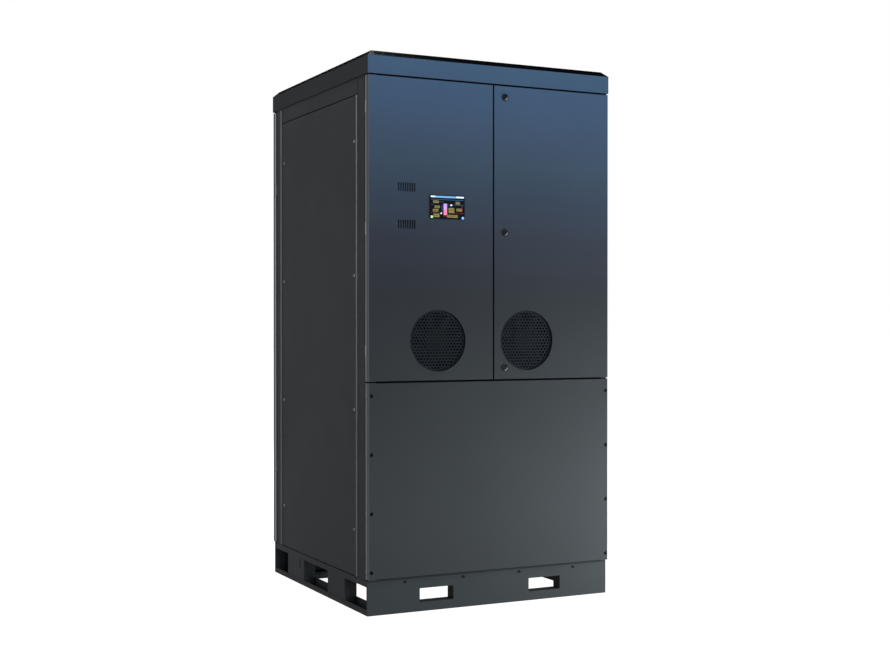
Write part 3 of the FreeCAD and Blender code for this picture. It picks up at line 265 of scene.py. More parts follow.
def coat_grain(n):
    """The fine grain and the faint orange peel of sprayed and baked paint."""
    peel = n.bump(n.noise(420.0, 1.0), 0.035, 0.0006)
    return n.bump(n.noise(2400.0, 2.0), 0.07, 0.0003, peel)


def coat_gloss(n, low, high):
    """Roughness that wanders between two limits over the sheet."""
    return n.span(n.noise(5.0, 5.0), low, high)


# ------------------------------------------------------------------ paints of sheet and frame

# How far a normal leans to an axis when its surface starts to count as a face, and fully does.
FACE_FROM = 0.80
FACE_FULL = 0.96
# Painted shade for faces that look inward, and for the sides of gaps and holes.
INSIDE_SHADE = srgb(44, 46, 49)
HEADER_SIDE = srgb(63, 64, 67)
# A painted highlight along the upright bends.
BEND_HIGHLIGHT = srgb(136, 143, 153)
# A painted shadow in gaps and holes, and how far it reaches beside the doors' lower gap.
GAP_SHADE = srgb(16, 24, 34)
GAP_SHADE_REACH = 1.0 * MM
# Where the paints change: above the front doors, above the roof's upright band, at the top of
# the plinth and at the back of the doors' folded edges.
HEADER_FROM = door_high[2] + 2 * MM
BEVEL_FROM = roof_low[2] + FASCIA + 0.5 * MM
PLINTH_TO = plinth_high[2] + 0.5 * MM
FOLD_FROM = DOOR_Y - DOOR_FOLD
# Height in metres and colour of what looks outward to the front and the rear: slate paint, with a painted
# reflection of blue light that grows towards the top.
FRONT_PAINT_AND_REFLECTION_STOPS = ((0.13, (69, 74, 77)), (0.35, (69, 74, 77)), (0.55, (67, 72, 75)),
               (0.75, (63, 68, 71)), (1.12, (58, 63, 68)), (1.20, (59, 64, 72)),
               (1.35, (63, 70, 82)), (1.50, (67, 80, 98)), (1.62, (72, 91, 111)),
               (1.70, (76, 95, 119)), (1.86, (79, 105, 137)), (2.01, (83, 112, 144)))
# Painted highlights on the doors' folded edge, from its back to its front.
FOLD_HIGHLIGHT_STOPS = ((0.0, (225, 226, 229)), (0.05, (205, 206, 210)), (0.14, (150, 151, 155)),
              (0.30, (104, 106, 111)), (0.60, (80, 84, 90)), (0.85, (72, 76, 82)),
              (1.0, (96, 100, 108)))
# A painted glint on the lands between the bevel's slots, from the left end to the middle.
BEVEL_GLINT_STOPS = ((0.0, (176, 178, 180)), (0.03, (160, 162, 164)), (0.07, (96, 100, 104)),
               (0.14, (76, 80, 84)), (0.28, (58, 60, 64)), (0.44, (36, 39, 42)),
               (0.62, (24, 26, 30)), (1.0, (16, 19, 22)))
# Painted shade on the bevel's slots and on its ends.
BEVEL_SHADE = srgb(14, 16, 19)
BEVEL_RIB = 5.6 * MM
# The posts' lips, which carry a painted highlight, from the side panel's front and rear edge, and the heights of
# the plinth's painted shadow line.
FRONT_LIP = (-4 * MM, 1 * MM)
REAR_LIP = (4 * MM, 8 * MM)
SEAM_SHADOW = (12.5 * MM, 14.5 * MM)


def powder_coat(name, colour, roughness, specular):
    """Baked paint of one colour with slight changes of gloss."""
    n = Surface(name)
    return n.finish(Base_Color=varied(n, colour, 0.05, 3.0),
                    Roughness=coat_gloss(n, roughness - 0.05, roughness + 0.06),
                    Specular_IOR_Level=specular, Normal=coat_grain(n))


def forward_mask(n):
    """1 on faces that look to the front or the rear, fading out round a bend."""
    return n.span(n.absolute(n.facing("Y")), 0.0, 1.0, FACE_FROM, FACE_FULL)


def bend_highlight_mask(n, inner):
    """1 along the upright rounded bends at the doors' outer edges, where a painted highlight goes."""
    widest = 0.0
    for name in "XYZ":
        widest = n.maths("MAXIMUM", n.absolute(n.facing(name)), widest)
    bend = n.span(widest, 1.0, 0.0, FACE_FROM, FACE_FULL)
    upright = n.times(n.under(n.absolute(n.facing("Z")), 0.2), n.opposite(inner))
    return n.times(bend, upright)


def fold_highlight_and_shade(n, inner):
    """The folded edges: a painted highlight at the back of the outer ones, painted shade in every gap and hole."""
    reach = n.absolute(n.axis("Y"))
    fold = n.ramp(n.span(reach, 0.0, 1.0, FOLD_FROM, DOOR_Y), tones(FOLD_HIGHLIGHT_STOPS))
    fold = n.mix(n.over(reach, FOLD_FROM - 0.2 * MM), INSIDE_SHADE, fold)
    return n.mix(inner, fold, GAP_SHADE)


def door_gap_shadow(n):
    """1 on the edges beside the gap between the front doors and the panel below, where a painted shadow goes."""
    gap = n.between(n.axis("Z"), panel_high[2] - GAP_SHADE_REACH, door_low[2] + GAP_SHADE_REACH)
    return n.times(gap, n.under(n.axis("Y"), 0.0))


def bevel_shade_and_glint(n):
    """The roof's slotted bevel in painted shade, with a painted glint on its lands that is brightest at its left
    end, and the plain top above it.
    """
    ribs = n.node("ShaderNodeTexChecker", {"Vector": n.place,
                                           "Scale": 1.0 / BEVEL_RIB}).outputs["Fac"]
    lands = n.ramp(n.span(n.axis("X"), 0.0, 1.0, cad_low[0], 0.0), tones(BEVEL_GLINT_STOPS))
    bevel = n.mix(ribs, lands, BEVEL_SHADE)
    bevel = n.mix(n.over(n.absolute(n.facing("X")), 0.25), bevel, BEVEL_SHADE)
    return n.mix(n.over(n.facing("Z"), 0.9), bevel, HEADER_SIDE)


def front_coat(name, specular):
    """Doors, lower panel and roof: slate paint with a painted blue reflection towards the top, painted highlights
    on bends and folds, painted shade on inward faces and in gaps and holes, and the bevel in painted shade with a
    painted glint.
    """
    n = Surface(name)
    z = n.axis("Z")
    inner = n.under(n.absolute(n.axis("X")), DOOR_X - DOOR_FOLD)
    header = n.over(z, HEADER_FROM)
    forward = forward_mask(n)
    outward = n.over(n.times(n.facing("Y"), n.axis("Y")), 0.0)
    # Faces that look sideways: the header's own colour, and on the doors the folds' painted highlights and painted
    # shade.
    side = n.mix(header, fold_highlight_and_shade(n, inner), HEADER_SIDE)
    # Faces that look forward but inward, such as the backs of the sheets, are in painted shade.
    side = n.mix(n.times(forward, n.opposite(outward)), side, INSIDE_SHADE)
    # Outward faces: slate paint with a painted reflection of blue light towards the top.
    face = n.ramp(n.span(z, 0.0, 1.0, 0.0, cad_high[2]), tones(FRONT_PAINT_AND_REFLECTION_STOPS, cad_high[2]))
    colour = n.mix(n.times(forward, outward), side, face)
    # A painted highlight along the upright bends, weaker on the header.
    highlight_strength = n.maths("SUBTRACT", 0.6, n.times(header, 0.25))
    colour = n.mix(n.times(bend_highlight_mask(n, inner), highlight_strength), colour, BEND_HIGHLIGHT)
    # A painted shadow in the gap between the front doors and the panel below.
    colour = n.mix(n.times(door_gap_shadow(n), 0.75), colour, GAP_SHADE)
    # Above the upright band: the bevel in painted shade with a painted glint.
    colour = n.mix(n.over(z, BEVEL_FROM), colour, bevel_shade_and_glint(n))
    cloud = n.ramp(n.noise(2.5, 4.0), ((0.3, (0.96, 0.96, 0.96, 1)), (0.7, (1.03, 1.03, 1.03, 1))))
    return n.finish(Base_Color=n.shaded(colour, cloud), Roughness=coat_gloss(n, 0.44, 0.54),
                    Specular_IOR_Level=specular, Normal=coat_grain(n))


def post_lip_highlight(n):
    """1 on the posts' lips that look forward beside the side panels, where a painted highlight goes."""
    y = n.axis("Y")
    lips = n.maths("ADD", n.between(y, side_low[1] + FRONT_LIP[0], side_low[1] + FRONT_LIP[1]),
                   n.between(y, side_high[1] + REAR_LIP[0], side_high[1] + REAR_LIP[1]))
    return n.times(lips, forward_mask(n))


def plinth_seam_shadow(n):
    """1 along the seam low on the plinth's sides, where a painted shadow line goes."""
    return n.times(n.between(n.axis("Z"), *SEAM_SHADOW), n.over(n.absolute(n.facing("X")), 0.5))


def frame_coat(name):
    """Welded frame: near black on its sides; on the front, the plinth lighter as painted light and the posts in
    painted shade; a painted highlight on the posts' lips and a painted shadow line along the plinth's seam.
    """
    n = Surface(name)
    plinth = n.under(n.axis("Z"), PLINTH_TO)
    # Faces that look forward: on the plinth, lighter than its sides as painted light; above it, on the posts'
    # front faces, painted shade.
    front = n.mix(plinth, INSIDE_SHADE, srgb(69, 75, 77))
    colour = n.mix(forward_mask(n), srgb(52, 53, 55), front)
    # A painted highlight on the posts' lips.
    colour = n.mix(n.times(post_lip_highlight(n), n.opposite(plinth)), colour, srgb(160, 161, 165))
    # A painted shadow line along the plinth's seam.
    colour = n.mix(n.times(plinth_seam_shadow(n), 0.7), colour, srgb(14, 15, 16))
    return n.finish(Base_Color=n.shaded(colour, varied(n, WHITE, 0.05, 3.0)),
                    Roughness=coat_gloss(n, 0.60, 0.72), Specular_IOR_Level=0.03,
                    Normal=coat_grain(n))


def guard_coat(name):
    """Perforated guards: dark sheet, with painted shade on the wall of their dish."""
    n = Surface(name)
    wall = n.under(n.absolute(n.facing("Y")), 0.5)
    # The dish's wall in painted shade; the sheet in its own dark colour.
    colour = n.mix(wall, srgb(40, 46, 53), srgb(14, 18, 24))
    return n.finish(Base_Color=n.shaded(colour, varied(n, WHITE, 0.08, 9.0)),
                    Roughness=coat_gloss(n, 0.50, 0.62), Specular_IOR_Level=0.03,
                    Normal=coat_grain(n))


# ------------------------------------------------------------------ other materials

# Where a painted pool of light lies on the gauze behind the door's slots, from the middle of each field.
PAINTED_LIGHT_ACROSS = (-10 * MM, 8 * MM)
PAINTED_LIGHT_TOP = 3 * MM


def metal(name, colour, roughness, grain_scale, grain=0.12, spangle=0.0):
    """Bare or plated metal with fine drawn lines and slight stains."""
    n = Surface(name)
    lines = n.lines(grain_scale)
    tint = varied(n, colour, 0.10, 9.0)
    if spangle:
        cells = n.node("ShaderNodeTexVoronoi", {"Vector": n.place, "Scale": 90.0}).outputs["Color"]
        grey = n.node("ShaderNodeRGBToBW", {"Color": cells}).outputs[0]
        shade = n.ramp(grey, ((0.0, (1 - spangle,) * 3 + (1,)), (1.0, (1 + spangle,) * 3 + (1,))))
        tint = n.shaded(tint, shade)
    return n.finish(Base_Color=tint, Metallic=1.0,
                    Roughness=n.span(lines, roughness - 0.08, roughness + 0.12),
                    Normal=n.bump(lines, grain, 0.0003))


def plastic(name, colour, roughness=0.5, specular=0.4):
    """Moulded plastic with a fine spark-eroded texture."""
    n = Surface(name)
    return n.finish(Base_Color=varied(n, colour, 0.06, 12.0),
                    Roughness=n.span(n.noise(30.0, 4.0), roughness - 0.06, roughness + 0.08),
                    Specular_IOR_Level=specular, Normal=n.bump(n.noise(700.0), 0.15, 0.0004))


def enamel(name, colour, roughness, cast=0.0, specular=0.3):
    """Brushed or dipped enamel, over a sand casting's rough skin where it has one."""
    n = Surface(name)
    normal = n.bump(n.noise(40.0, 2.0), 0.08, 0.002)
    if cast:
        normal = n.bump(n.noise(350.0, 4.0), cast, 0.0015, normal)
    return n.finish(Base_Color=varied(n, colour, 0.10, 7.0),
                    Roughness=n.span(n.noise(14.0, 5.0), roughness - 0.06, roughness + 0.12),
                    Specular_IOR_Level=specular, Normal=normal)


def glass_panel(name, colour):
    """The display's cover glass: black, smooth, with faint smears in its gloss."""
    n = Surface(name)
    return n.finish(Base_Color=varied(n, colour, 0.15, 20.0),
                    Roughness=n.span(n.lines((30.0, 30.0, 9.0), 4.0), 0.10, 0.22),
                    Specular_IOR_Level=0.06)


def lit(name, colour, strength):
    """A patch of the display's picture, which gives off its own light."""
    n = Surface(name)
    tone = varied(n, colour, 0.10, 60.0)
    return n.finish(Base_Color=tone, Roughness=0.25, Emission_Color=tone,
                    Emission_Strength=strength)


def rubber(name):
    """Extruded black rubber, matt, with a faint lengthwise drag."""
    n = Surface(name)
    drag = n.lines((40.0, 900.0, 900.0))
    return n.finish(Base_Color=varied(n, (0.003, 0.003, 0.004, 1), 0.2, 30.0),
                    Roughness=n.span(drag, 0.70, 0.85), Specular_IOR_Level=0.03,
                    Normal=n.bump(drag, 0.15, 0.0003))


def gauze(name):
    """Fine dark dust filter in painted shade, with a painted pool of light on its lower left behind each field of
    the door's slots.
    """
    n = Surface(name)
    weave = n.node("ShaderNodeTexWave", {"Vector": n.place, "Scale": 260.0, "Distortion": 1.5,
                                         "Detail": 2.0}).outputs["Fac"]
    left = n.span(n.axis("X"), 1.0, 0.0, FIELD_X + PAINTED_LIGHT_ACROSS[0], FIELD_X + PAINTED_LIGHT_ACROSS[1])
    low = 0.0
    for z in FIELD_HEIGHTS:
        low = n.maths("MAXIMUM", low, n.between(n.axis("Z"), z - GAUZE_H, z + PAINTED_LIGHT_TOP))
    # Painted shade over the gauze, and a painted pool of light at the lower left of each field.
    tone = n.mix(n.times(left, low), srgb(4, 6, 9), srgb(36, 50, 62))
    shade = n.ramp(weave, ((0.0, (0.7, 0.7, 0.7, 1)), (1.0, (1.1, 1.1, 1.1, 1))))
    return n.finish(Base_Color=n.shaded(tone, shade), Roughness=0.8,
                    Specular_IOR_Level=0.02, Normal=n.bump(weave, 0.2, 0.0005))


def cup_light_and_shade(name):
    """Inside of a lock's cup: painted shade where it looks down or to the right, and a painted highlight where it
    leans up and to the left.
    """
    n = Surface(name)
    lean = n.maths("SUBTRACT", n.facing("Z"), n.facing("X"))
    # Painted shade and a painted highlight, chosen by which way the surface leans.
    tone = n.ramp(n.span(lean, 0.0, 1.0, -0.3, 0.85),
                  tones(((0.0, (12, 18, 26)), (0.5, (26, 34, 44)), (0.9, (235, 242, 250)))))
    scratches = n.lines((300.0, 900.0, 300.0))
    return n.finish(Base_Color=tone, Roughness=n.span(scratches, 0.35, 0.5),
                    Specular_IOR_Level=0.05, Normal=n.bump(scratches, 0.1, 0.0003))


# ------------------------------------------------------------------ finishes of the solids

SLOTS = {
    "front_paint": front_coat("front_paint", 0.02),
    "side_paint": powder_coat("side_paint", srgb(50, 51, 53), 0.66, 0.04),
    "frame_paint": frame_coat("frame_paint"),
    "bright_steel": metal("bright_steel", (0.62, 0.62, 0.60, 1), 0.34, (900.0, 900.0, 60.0)),
    "black_steel": enamel("black_steel", (0.016, 0.017, 0.019, 1), 0.45, specular=0.08),
    "stainless_steel": metal("stainless_steel", (0.60, 0.60, 0.58, 1), 0.30,
                             (700.0, 700.0, 20.0)),
    "galvanised_steel": metal("galvanised_steel", (0.55, 0.57, 0.58, 1), 0.42,
                              (60.0, 60.0, 60.0), grain=0.08, spangle=0.16),
    "black_plastic": plastic("black_plastic", (0.012, 0.012, 0.013, 1), specular=0.08),
    "grey_plastic": plastic("grey_plastic", (0.33, 0.34, 0.35, 1)),
    "light_plastic": plastic("light_plastic", (0.60, 0.61, 0.60, 1)),
    "display_glass": glass_panel("display_glass", (0.006, 0.007, 0.010, 1)),
    "cast_iron": enamel("cast_iron", (0.075, 0.085, 0.095, 1), 0.5, cast=0.5),
    "motor_paint": enamel("motor_paint", (0.10, 0.13, 0.16, 1), 0.38, cast=0.15),
    "blue_paint": enamel("blue_paint", (0.045, 0.11, 0.24, 1), 0.36),
    "red_paint": enamel("red_paint", (0.42, 0.035, 0.028, 1), 0.34),
}

for subpart in frame["record"]["subparts"]:
    materials = NODES[subpart["node"]].data.materials
    materials.clear()
    materials.append(SLOTS[subpart["material_slot"]])

guard_paint = guard_coat("guard_paint")
OWN_FINISHES = {
    "roof_cover": front_coat("roof_paint", 0.0),
    "mounting_plate": powder_coat("plate_paint", (0.012, 0.013, 0.014, 1), 0.6, 0.03),
    "side_panel_screws": metal("dull_zinc", (0.20, 0.20, 0.21, 1), 0.5, (300.0, 300.0, 300.0)),
    "vent_grille_left": guard_paint,
    "vent_grille_right": guard_paint,
}
for node, material in OWN_FINISHES.items():
    NODES[node].data.materials[0] = material

# ------------------------------------------------------------------ mesh helpers

BLOCK_FACES = ((0, 1, 3, 2), (4, 6, 7, 5), (0, 4, 5, 1), (2, 3, 7, 6), (0, 2, 6, 4), (1, 5, 7, 3))
CORNER_STEPS = 4


def mesh_object(name, build, body, material):
    """Runs build(bm) into a new mesh object that rides on the body."""
    bm = bmesh.new()
    build(bm)
    bmesh.ops.recalc_face_normals(bm, faces=bm.faces)
    mesh = bpy.data.meshes.new(name)
    bm.to_mesh(mesh)
    bm.free()
    mesh.materials.append(material)
    obj = bpy.data.objects.new(name, mesh)
    bpy.context.scene.collection.objects.link(obj)
    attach(obj, body)
    return obj


def add_block(bm, x0, x1, y0, y1, z0, z1):
    """A box between two limits along each axis."""
    corners = [bm.verts.new((x, y, z)) for x in (x0, x1) for y in (y0, y1) for z in (z0, z1)]
    for face in BLOCK_FACES:
        bm.faces.new([corners[k] for k in face])


def add_wall(bm, a, b):
    """Faces from one ring of corners to the next."""
    for k in range(len(a)):
        m = (k + 1) % len(a)
        bm.faces.new((a[k], a[m], b[m], b[k]))


def add_prism(bm, a, b):
    """The solid between two rings of corners."""
    add_wall(bm, a, b)
    bm.faces.new(a[::-1])
    bm.faces.new(b)


def add_bar(bm, x0, x1, y0, y1, z0, z1, soft=0.5 * MM):
    """A bar along X with its four long edges taken off."""
    ring = [(y0 + soft, z0), (y1 - soft, z0), (y1, z0 + soft), (y1, z1 - soft),
            (y1 - soft, z1), (y0 + soft, z1), (y0, z1 - soft), (y0, z0 + soft)]
    add_prism(bm, *[[bm.verts.new((x, y, z)) for y, z in ring] for x in (x0, x1)])


def add_turned(bm, x, z, profile, steps=40):
    """Turns a profile of (radius, y) points about the axis along Y through (x, z)."""
    rings = []
    for radius, y in profile:
        angles = [2 * math.pi * k / steps for k in range(steps)]
        rings.append([bm.verts.new((x + radius * math.cos(angle), y,
                                    z + radius * math.sin(angle))) for angle in angles])
    for a, b in zip(rings, rings[1:] + rings[:1]):
        add_wall(bm, a, b)


def add_plate(bm, x0, x1, z0, z1, front, back, corner, chamfer):
    """A plate in the XZ plane with round corners and a chamfer round its front."""
    def outline(inset):
        points = []
        for cx, cz, turn in ((x1, z1, 0), (x0, z1, 1), (x0, z0, 2), (x1, z0, 3)):
            mx = cx - math.copysign(corner, cx - (x0 + x1) / 2)
            mz = cz - math.copysign(corner, cz - (z0 + z1) / 2)
            for k in range(CORNER_STEPS + 1):
                angle = math.pi / 2 * (turn + k / CORNER_STEPS)
                points.append((mx + (corner - inset) * math.cos(angle),
                               mz + (corner - inset) * math.sin(angle)))
        return points

    rings = [[bm.verts.new((x, y, z)) for x, z in outline(inset)]
             for inset, y in ((chamfer, front), (0.0, front + chamfer), (0.0, back))]
    for a, b in zip(rings, rings[1:]):
        add_wall(bm, a, b)
    bm.faces.new(rings[0])
    bm.faces.new(rings[-1][::-1])


# ------------------------------------------------------------------ seals

# How far the strips sit behind the doors' faces, keep off a moving leaf, reach back, and stop
# short of the right end, and the room that they leave round the bolts.
LEFT_END = 3 * MM - DOOR_X
SEAL_SET = 6.0 * MM
SEAL_CLEAR = 0.7 * MM
SEAL_DEEP = 20 * MM
SEAL_END = 4.5 * MM
BOLT_ROOM = 8.0 * MM
BOLT_CLEAR = 11.0 * MM
# The plinth's strips, and the strip between two leaves, which stops short of their ends.
PLINTH_SEAL_DEEP = 9 * MM
PLINTH_SEAL_LAP = 1 * MM
SPLIT_LEFT = -1.45 * MM
SPLIT_RIGHT = 0.7 * MM
SPLIT_SET = 5 * MM
SPLIT_END = 4 * MM


def header_seal(bm, right, side):
    """Above the leaves: full depth, but thin in front of the bolt, which passes behind it."""
    outer = DOOR_Y - SEAL_SET
    inner = outer - SEAL_DEEP
    thin = DOOR_Y - BOLT_CLEAR
    for x0, x1, deep in ((LEFT_END, BOLT_X - BOLT_ROOM, inner),
                         (BOLT_X - BOLT_ROOM, BOLT_X + BOLT_ROOM, thin),
                         (BOLT_X + BOLT_ROOM, right, inner)):
        y0, y1 = sorted((side * outer, side * deep))
        add_bar(bm, x0, x1, y0, y1, door_high[2] + SEAL_CLEAR, roof_low[2])


def gap_seals(bm):
    """Rubber strips along the level gaps, fixed to the part that stays still."""
    right = DOOR_X - SEAL_END
    front = SEAL_SET - DOOR_Y
    header_seal(bm, right, -1)
    header_seal(bm, -LEFT_END, 1)
    add_bar(bm, LEFT_END, right, front, front + SEAL_DEEP, panel_high[2],
            door_low[2] - SEAL_CLEAR)


def plinth_seals(bm):
    """Grey strips that close the gap on top of the plinth, front and rear."""
    inner = plinth_low[1] + PLINTH_SEAL_LAP
    outer = inner - PLINTH_SEAL_DEEP
    add_bar(bm, LEFT_END, -LEFT_END - SEAL_END, outer, inner, plinth_high[2], panel_low[2])
    add_bar(bm, LEFT_END, -LEFT_END, -inner, -outer, plinth_high[2], rear_low[2] - SEAL_CLEAR)


def split_seal(side, low, high):
    """The strip on a left leaf's free edge, which closes the gap between the leaves."""
    outer = max(-low[1], high[1]) - SPLIT_SET
    y0, y1 = sorted((side * outer, side * (outer - SEAL_DEEP)))

    def build(bm):
        add_block(bm, SPLIT_LEFT, SPLIT_RIGHT, y0, y1, low[2] + SPLIT_END, high[2] - SPLIT_END)
    return build


seal_rubber = rubber("seal_rubber")
strip_plastic = plastic("strip_plastic", (0.034, 0.040, 0.044, 1), 0.6, specular=0.03)
mesh_object("plinth_seals", plinth_seals, "cabinet", strip_plastic)
mesh_object("gap_seals", gap_seals, "cabinet", seal_rubber)
mesh_object("front_split_seal", split_seal(-1, door_low, door_high), "front_left_leaf",
            seal_rubber)
mesh_object("rear_split_seal", split_seal(1, rear_low, rear_high), "rear_left_leaf",
            seal_rubber)

# ------------------------------------------------------------------ hinge covers

# How far a cap laps past the hinge's axis, sits inside the door's faces, and reaches back.
COVER_LAP = 0.6 * MM
COVER_SET = 0.8 * MM
COVER_BACK = 21 * MM
COVER_HIGH = 55 * MM


def hinge_covers(side):
    """Black caps in a rear door's hinge notches."""
    x0, x1 = sorted((side * (HINGE_X - COVER_LAP), side * (REAR_X - COVER_SET)))

    def build(bm):
        for z in NOTCH_HEIGHTS:
            add_bar(bm, x0, x1, rear_high[1] - COVER_BACK, rear_high[1] - COVER_SET,
                    z - COVER_HIGH / 2, z + COVER_HIGH / 2)
    return build


mesh_object("hinge_covers_left", hinge_covers(-1), "rear_left_leaf",
            SLOTS["black_plastic"])
mesh_object("hinge_covers_right", hinge_covers(1), "rear_right_leaf",
            SLOTS["black_plastic"])

# ------------------------------------------------------------------ gauze

# The sheets' place behind the bevel, their thickness, and how short they stop of its foot, its
# top and its corners.
LINER_SET = 3.6 * MM
LINER_THICK = 0.8 * MM
LINER_FOOT = 2 * MM
LINER_HEAD = 3 * MM
LINER_END = 1 * MM


def roof_liner(bm):
    """Gauze behind the roof's slots: four leaning sheets inside its bevel."""
    foot = roof_low[2] + FASCIA + LINER_FOOT
    top = roof_low[2] + FASCIA + BEVEL_UP - LINER_HEAD
    lean = BEVEL_IN / BEVEL_UP * (top - foot)
    sheet = ((LINER_SET, foot), (LINER_SET + lean, top),
             (LINER_SET + lean + LINER_THICK, top), (LINER_SET + LINER_THICK, foot))
    for reach, along, turned in ((roof_high[1], roof_high[0], False),
                                 (roof_high[0], roof_high[1], True)):
        half = along - BEVEL_IN - LINER_END
        for side in (-1, 1):
            ends = []
            for end in (-half, half):
                places = [(end, side * (reach - inward), z) for inward, z in sheet]
                ends.append([bm.verts.new((y, x, z) if turned else (x, y, z))
                             for x, y, z in places])
            add_prism(bm, *ends)


def gauze_sheets(bm):
    """A sheet behind each field of slots in the left door."""
    back = door_low[1] + DOOR_SHEET
    for z in FIELD_HEIGHTS:
        add_bar(bm, FIELD_X - GAUZE_W / 2, FIELD_X + GAUZE_W / 2, back, back + GAUZE_THICK,
                z - GAUZE_H / 2, z + GAUZE_H / 2, soft=0.3 * MM)


filter_gauze = gauze("filter_gauze")
mesh_object("roof_gauze", roof_liner, "cabinet", filter_gauze)
mesh_object("slot_gauze", gauze_sheets, "front_left_leaf", filter_gauze)

# ------------------------------------------------------------------ foot strips and lock cups

# The strips stop inside the plinth's edges and clear the floor.
STRIP_SET = 3 * MM
STRIP_W = 52 * MM
STRIP_GAP = 1 * MM
STRIP_LOW = 0.3 * MM
STRIP_HIGH = 2.3 * MM
STRIP_SOFT = 0.4 * MM
REAR_STRIP_W = 150 * MM
# Radius and height in front of the door's face.
CUP_PROFILE = ((10.2 * MM, 2.8 * MM), (7.6 * MM, 1.4 * MM), (10.2 * MM, 1.0 * MM))


def foot_strips(bm):
    """Flat bars under the plinth, inside its folded edge."""
    x = plinth_high[0] - STRIP_SET
    y = plinth_high[1] - STRIP_SET
    inner = x - STRIP_W - STRIP_GAP
    for x0, x1, y0 in ((-x, STRIP_W - x, -y), (x - STRIP_W, x, -y),
                       (-inner, inner, y - REAR_STRIP_W)):
        add_bar(bm, x0, x1, y0, y, STRIP_LOW, STRIP_HIGH, STRIP_SOFT)


def cup_rings(bm):
    """A turned ring in the cup of each lock of the right door."""
    for x, _, z in LOCKS:
        add_turned(bm, x, z, [(radius, door_low[1] - out) for radius, out in CUP_PROFILE])


mesh_object("foot_strips", foot_strips, "cabinet",
            powder_coat("foot_paint", srgb(24, 26, 28), 0.7, 0.02))
mesh_object("lock_cup_linings", cup_rings, "front_right_leaf", cup_light_and_shade("cup_light_and_shade"))

# ------------------------------------------------------------------ operator display

GLASS_RIM = 0.8 * MM
GLASS_Y = housing_low[1] + 0.4 * MM
PICTURE_LEFT = housing_low[0] + GLASS_RIM
PICTURE_BOTTOM = housing_low[2] + GLASS_RIM
PICTURE_W = housing_high[0] - housing_low[0] - 2 * GLASS_RIM
PICTURE_H = housing_high[2] - housing_low[2] - 2 * GLASS_RIM
PATCH_BACK = 0.02 * MM
PATCH_THICK = 0.2 * MM
TOP_PATCH_THICK = 0.3 * MM
PLUG_SHARES = (0.22, 0.50, 0.78)
PLUG_W = 18 * MM
PLUG_UP = (8 * MM, 17 * MM)
PLUG_DEEP = 3 * MM
PLUG_BACK = 0.01 * MM


def display_front(bm):
    """The glass plate that stands before the door's face."""
    add_plate(bm, housing_low[0], housing_high[0], housing_low[2], housing_high[2], GLASS_Y,
              door_low[1], corner=2.5 * MM, chamfer=0.4 * MM)


def display_body(bm):
    """The box behind the door's face, with three plug plates let into its back."""
    add_plate(bm, screen_low[0], screen_high[0], screen_low[2], screen_high[2], door_low[1],
              housing_high[1], corner=3.0 * MM, chamfer=0.5 * MM)
    back = housing_high[1]
    bottom, top = (screen_low[2] + up for up in PLUG_UP)
    for share in PLUG_SHARES:
        x = screen_low[0] + share * (screen_high[0] - screen_low[0])
        add_plate(bm, x - PLUG_W / 2, x + PLUG_W / 2, bottom, top, back - PLUG_DEEP,
                  back - PLUG_BACK, corner=1.0 * MM, chamfer=0.3 * MM)


glass_front = mesh_object("display_cover", display_front, "front_left_leaf",
                          SLOTS["display_glass"])
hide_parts("hmi_screen")
body_piece = mesh_object("display_body", display_body, "front_left_leaf",
                         SLOTS["black_plastic"])
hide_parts("hmi_housing")


def patches(name, material, cells, thick=PATCH_THICK):
    """Thin raised patches of the display's picture, each (left, bottom, right, top) in 0..1."""
    def build(bm):
        for left, bottom, right, top in cells:
            add_block(bm, PICTURE_LEFT + left * PICTURE_W, PICTURE_LEFT + right * PICTURE_W,
                      GLASS_Y - thick, GLASS_Y - PATCH_BACK,
                      PICTURE_BOTTOM + bottom * PICTURE_H, PICTURE_BOTTOM + top * PICTURE_H)
    mesh_object(name, build, "front_left_leaf", material)


def dots(places):
    """Three small dark cells in a row from each (left, bottom) place."""
    return [(x + 0.02 + 0.045 * k, z + 0.03, x + 0.045 + 0.045 * k, z + 0.07)
            for x, z in places for k in range(3)]


patches("display_bar", lit("display_pale_blue", srgb(105, 165, 215), 0.55),
        [(0.02, 0.905, 0.98, 0.985)])
patches("display_bar_end", lit("display_white", srgb(225, 235, 245), 0.7),
        [(0.02, 0.93, 0.15, 0.985), (0.59, 0.565, 0.635, 0.635), (0.30, 0.20, 0.335, 0.26),
         (0.76, 0.93, 0.98, 0.985)], TOP_PATCH_THICK)
patches("display_labels", lit("display_olive", srgb(126, 118, 62), 0.42),
        [(0.09, 0.67, 0.25, 0.78), (0.13, 0.45, 0.28, 0.56), (0.08, 0.30, 0.24, 0.41),
         (0.10, 0.06, 0.27, 0.21), (0.535, 0.26, 0.70, 0.48), (0.74, 0.64, 0.865, 0.76),
         (0.765, 0.345, 0.92, 0.465), (0.495, 0.06, 0.64, 0.18), (0.65, 0.06, 0.80, 0.18)])
patches("display_marks", lit("display_brown", srgb(52, 44, 22), 0.3),
        dots(((0.09, 0.67), (0.13, 0.45), (0.08, 0.30), (0.10, 0.09), (0.74, 0.67),
              (0.765, 0.37), (0.495, 0.08), (0.65, 0.08), (0.55, 0.34))), TOP_PATCH_THICK)
patches("display_tank_top", lit("display_lilac", srgb(190, 150, 215), 0.6),
        [(0.39, 0.42, 0.49, 0.655)])
patches("display_tank_bottom", lit("display_pink", srgb(235, 125, 165), 0.6),
        [(0.39, 0.17, 0.49, 0.42)])
patches("display_red", lit("display_crimson", srgb(150, 24, 44), 0.4),
        [(0.39, 0.11, 0.49, 0.17), (0.02, 0.245, 0.30, 0.255), (0.70, 0.255, 0.98, 0.265),
         (0.92, 0.30, 0.93, 0.64)])
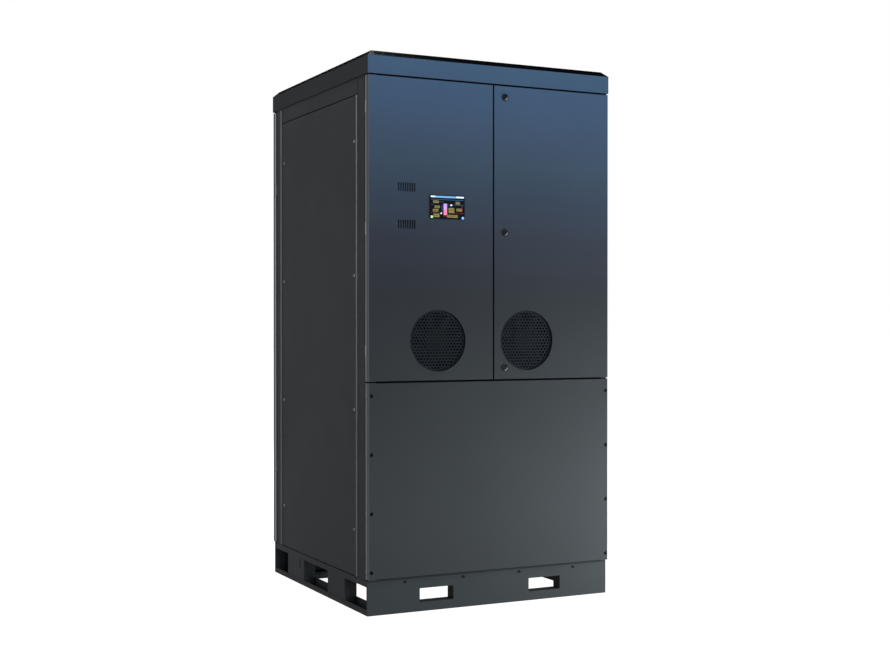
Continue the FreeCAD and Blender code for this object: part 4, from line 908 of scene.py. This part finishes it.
patches("display_lines", lit("display_blue", srgb(50, 110, 170), 0.4),
        [(0.02, 0.82, 0.98, 0.835), (0.25, 0.72, 0.39, 0.73), (0.49, 0.60, 0.59, 0.61),
         (0.635, 0.60, 0.98, 0.61), (0.02, 0.60, 0.10, 0.61), (0.34, 0.22, 0.35, 0.60)])
patches("display_icons", lit("display_green", srgb(165, 225, 165), 0.6),
        [(0.02, 0.02, 0.085, 0.12)])
patches("display_icons_blue", lit("display_sky", srgb(130, 190, 240), 0.65),
        [(0.915, 0.01, 0.985, 0.10), (0.93, 0.0, 0.97, 0.11)])

# ------------------------------------------------------------------ floor, world and lights

FLOOR_HALF = 60.0
FLOOR_DROP = 0.5 * MM


def stage_floor():
    """A wide floor: white in the picture, and pale grey to the light that falls on the object."""
    mesh = bpy.data.meshes.new("floor")
    bm = bmesh.new()
    bmesh.ops.create_grid(bm, x_segments=2, y_segments=2, size=FLOOR_HALF)
    bm.to_mesh(mesh)
    bm.free()
    floor = bpy.data.objects.new("floor", mesh)
    floor.location = (0.0, 0.0, -FLOOR_DROP)
    n = Surface("studio_floor")
    white = n.node("ShaderNodeEmission", {"Color": WHITE, "Strength": 0.96})
    catch = n.node("ShaderNodeBsdfDiffuse", {"Color": (0.35, 0.35, 0.35, 1)})
    shown = n.node("ShaderNodeAddShader", {0: white.outputs[0], 1: catch.outputs[0]})
    real = n.node("ShaderNodeBsdfDiffuse", {"Color": (0.80, 0.80, 0.80, 1)})
    n.show(n.blend(n.seen(), real, shown))
    mesh.materials.append(n.material)
    bpy.context.scene.collection.objects.link(floor)


def stage_world():
    """White behind the object, and a soft, slightly cool light on it."""
    world = bpy.data.worlds.new("studio")
    bpy.context.scene.world = world
    n = Tree(world, "ShaderNodeOutputWorld")
    room = n.node("ShaderNodeBackground", {"Color": (0.96, 0.98, 1.0, 1.0), "Strength": 0.25})
    backdrop = n.node("ShaderNodeBackground", {"Color": WHITE, "Strength": 1.0})
    n.show(n.blend(n.seen(), room, backdrop))


def softbox(name, place, target, side, power):
    """A square lamp that the camera doesn't see, turned to the target."""
    data = bpy.data.lights.new(name, "AREA")
    data.shape = "RECTANGLE"
    data.size = side
    data.size_y = side
    data.energy = power
    lamp = bpy.data.objects.new(name, data)
    lamp.location = place
    lamp.rotation_euler = (Vector(target) - Vector(place)).to_track_quat("-Z", "Y").to_euler()
    lamp.visible_camera = False
    bpy.context.scene.collection.objects.link(lamp)


stage_floor()
stage_world()
softbox("upper_left", (-1.2, -2.3, 3.3), (-0.5, -0.5, 1.9), 1.2, 20.0)
softbox("side_wash", (-5.2, 3.0, 2.0), (-0.5, 0.3, 1.0), 3.0, 90.0)
softbox("low_right", (1.45, -1.45, 0.30), (0.25, -0.5, 0.20), 0.5, 19.0)
softbox("mid_right", (2.0, -2.4, 0.40), (0.0, -0.5, 0.30), 0.9, 21.0)
softbox("rear_fill", (2.0, 5.5, 3.0), (0.0, 0.0, 1.0), 3.0, 150.0)

scene = bpy.context.scene
scene.view_settings.view_transform = "Standard"
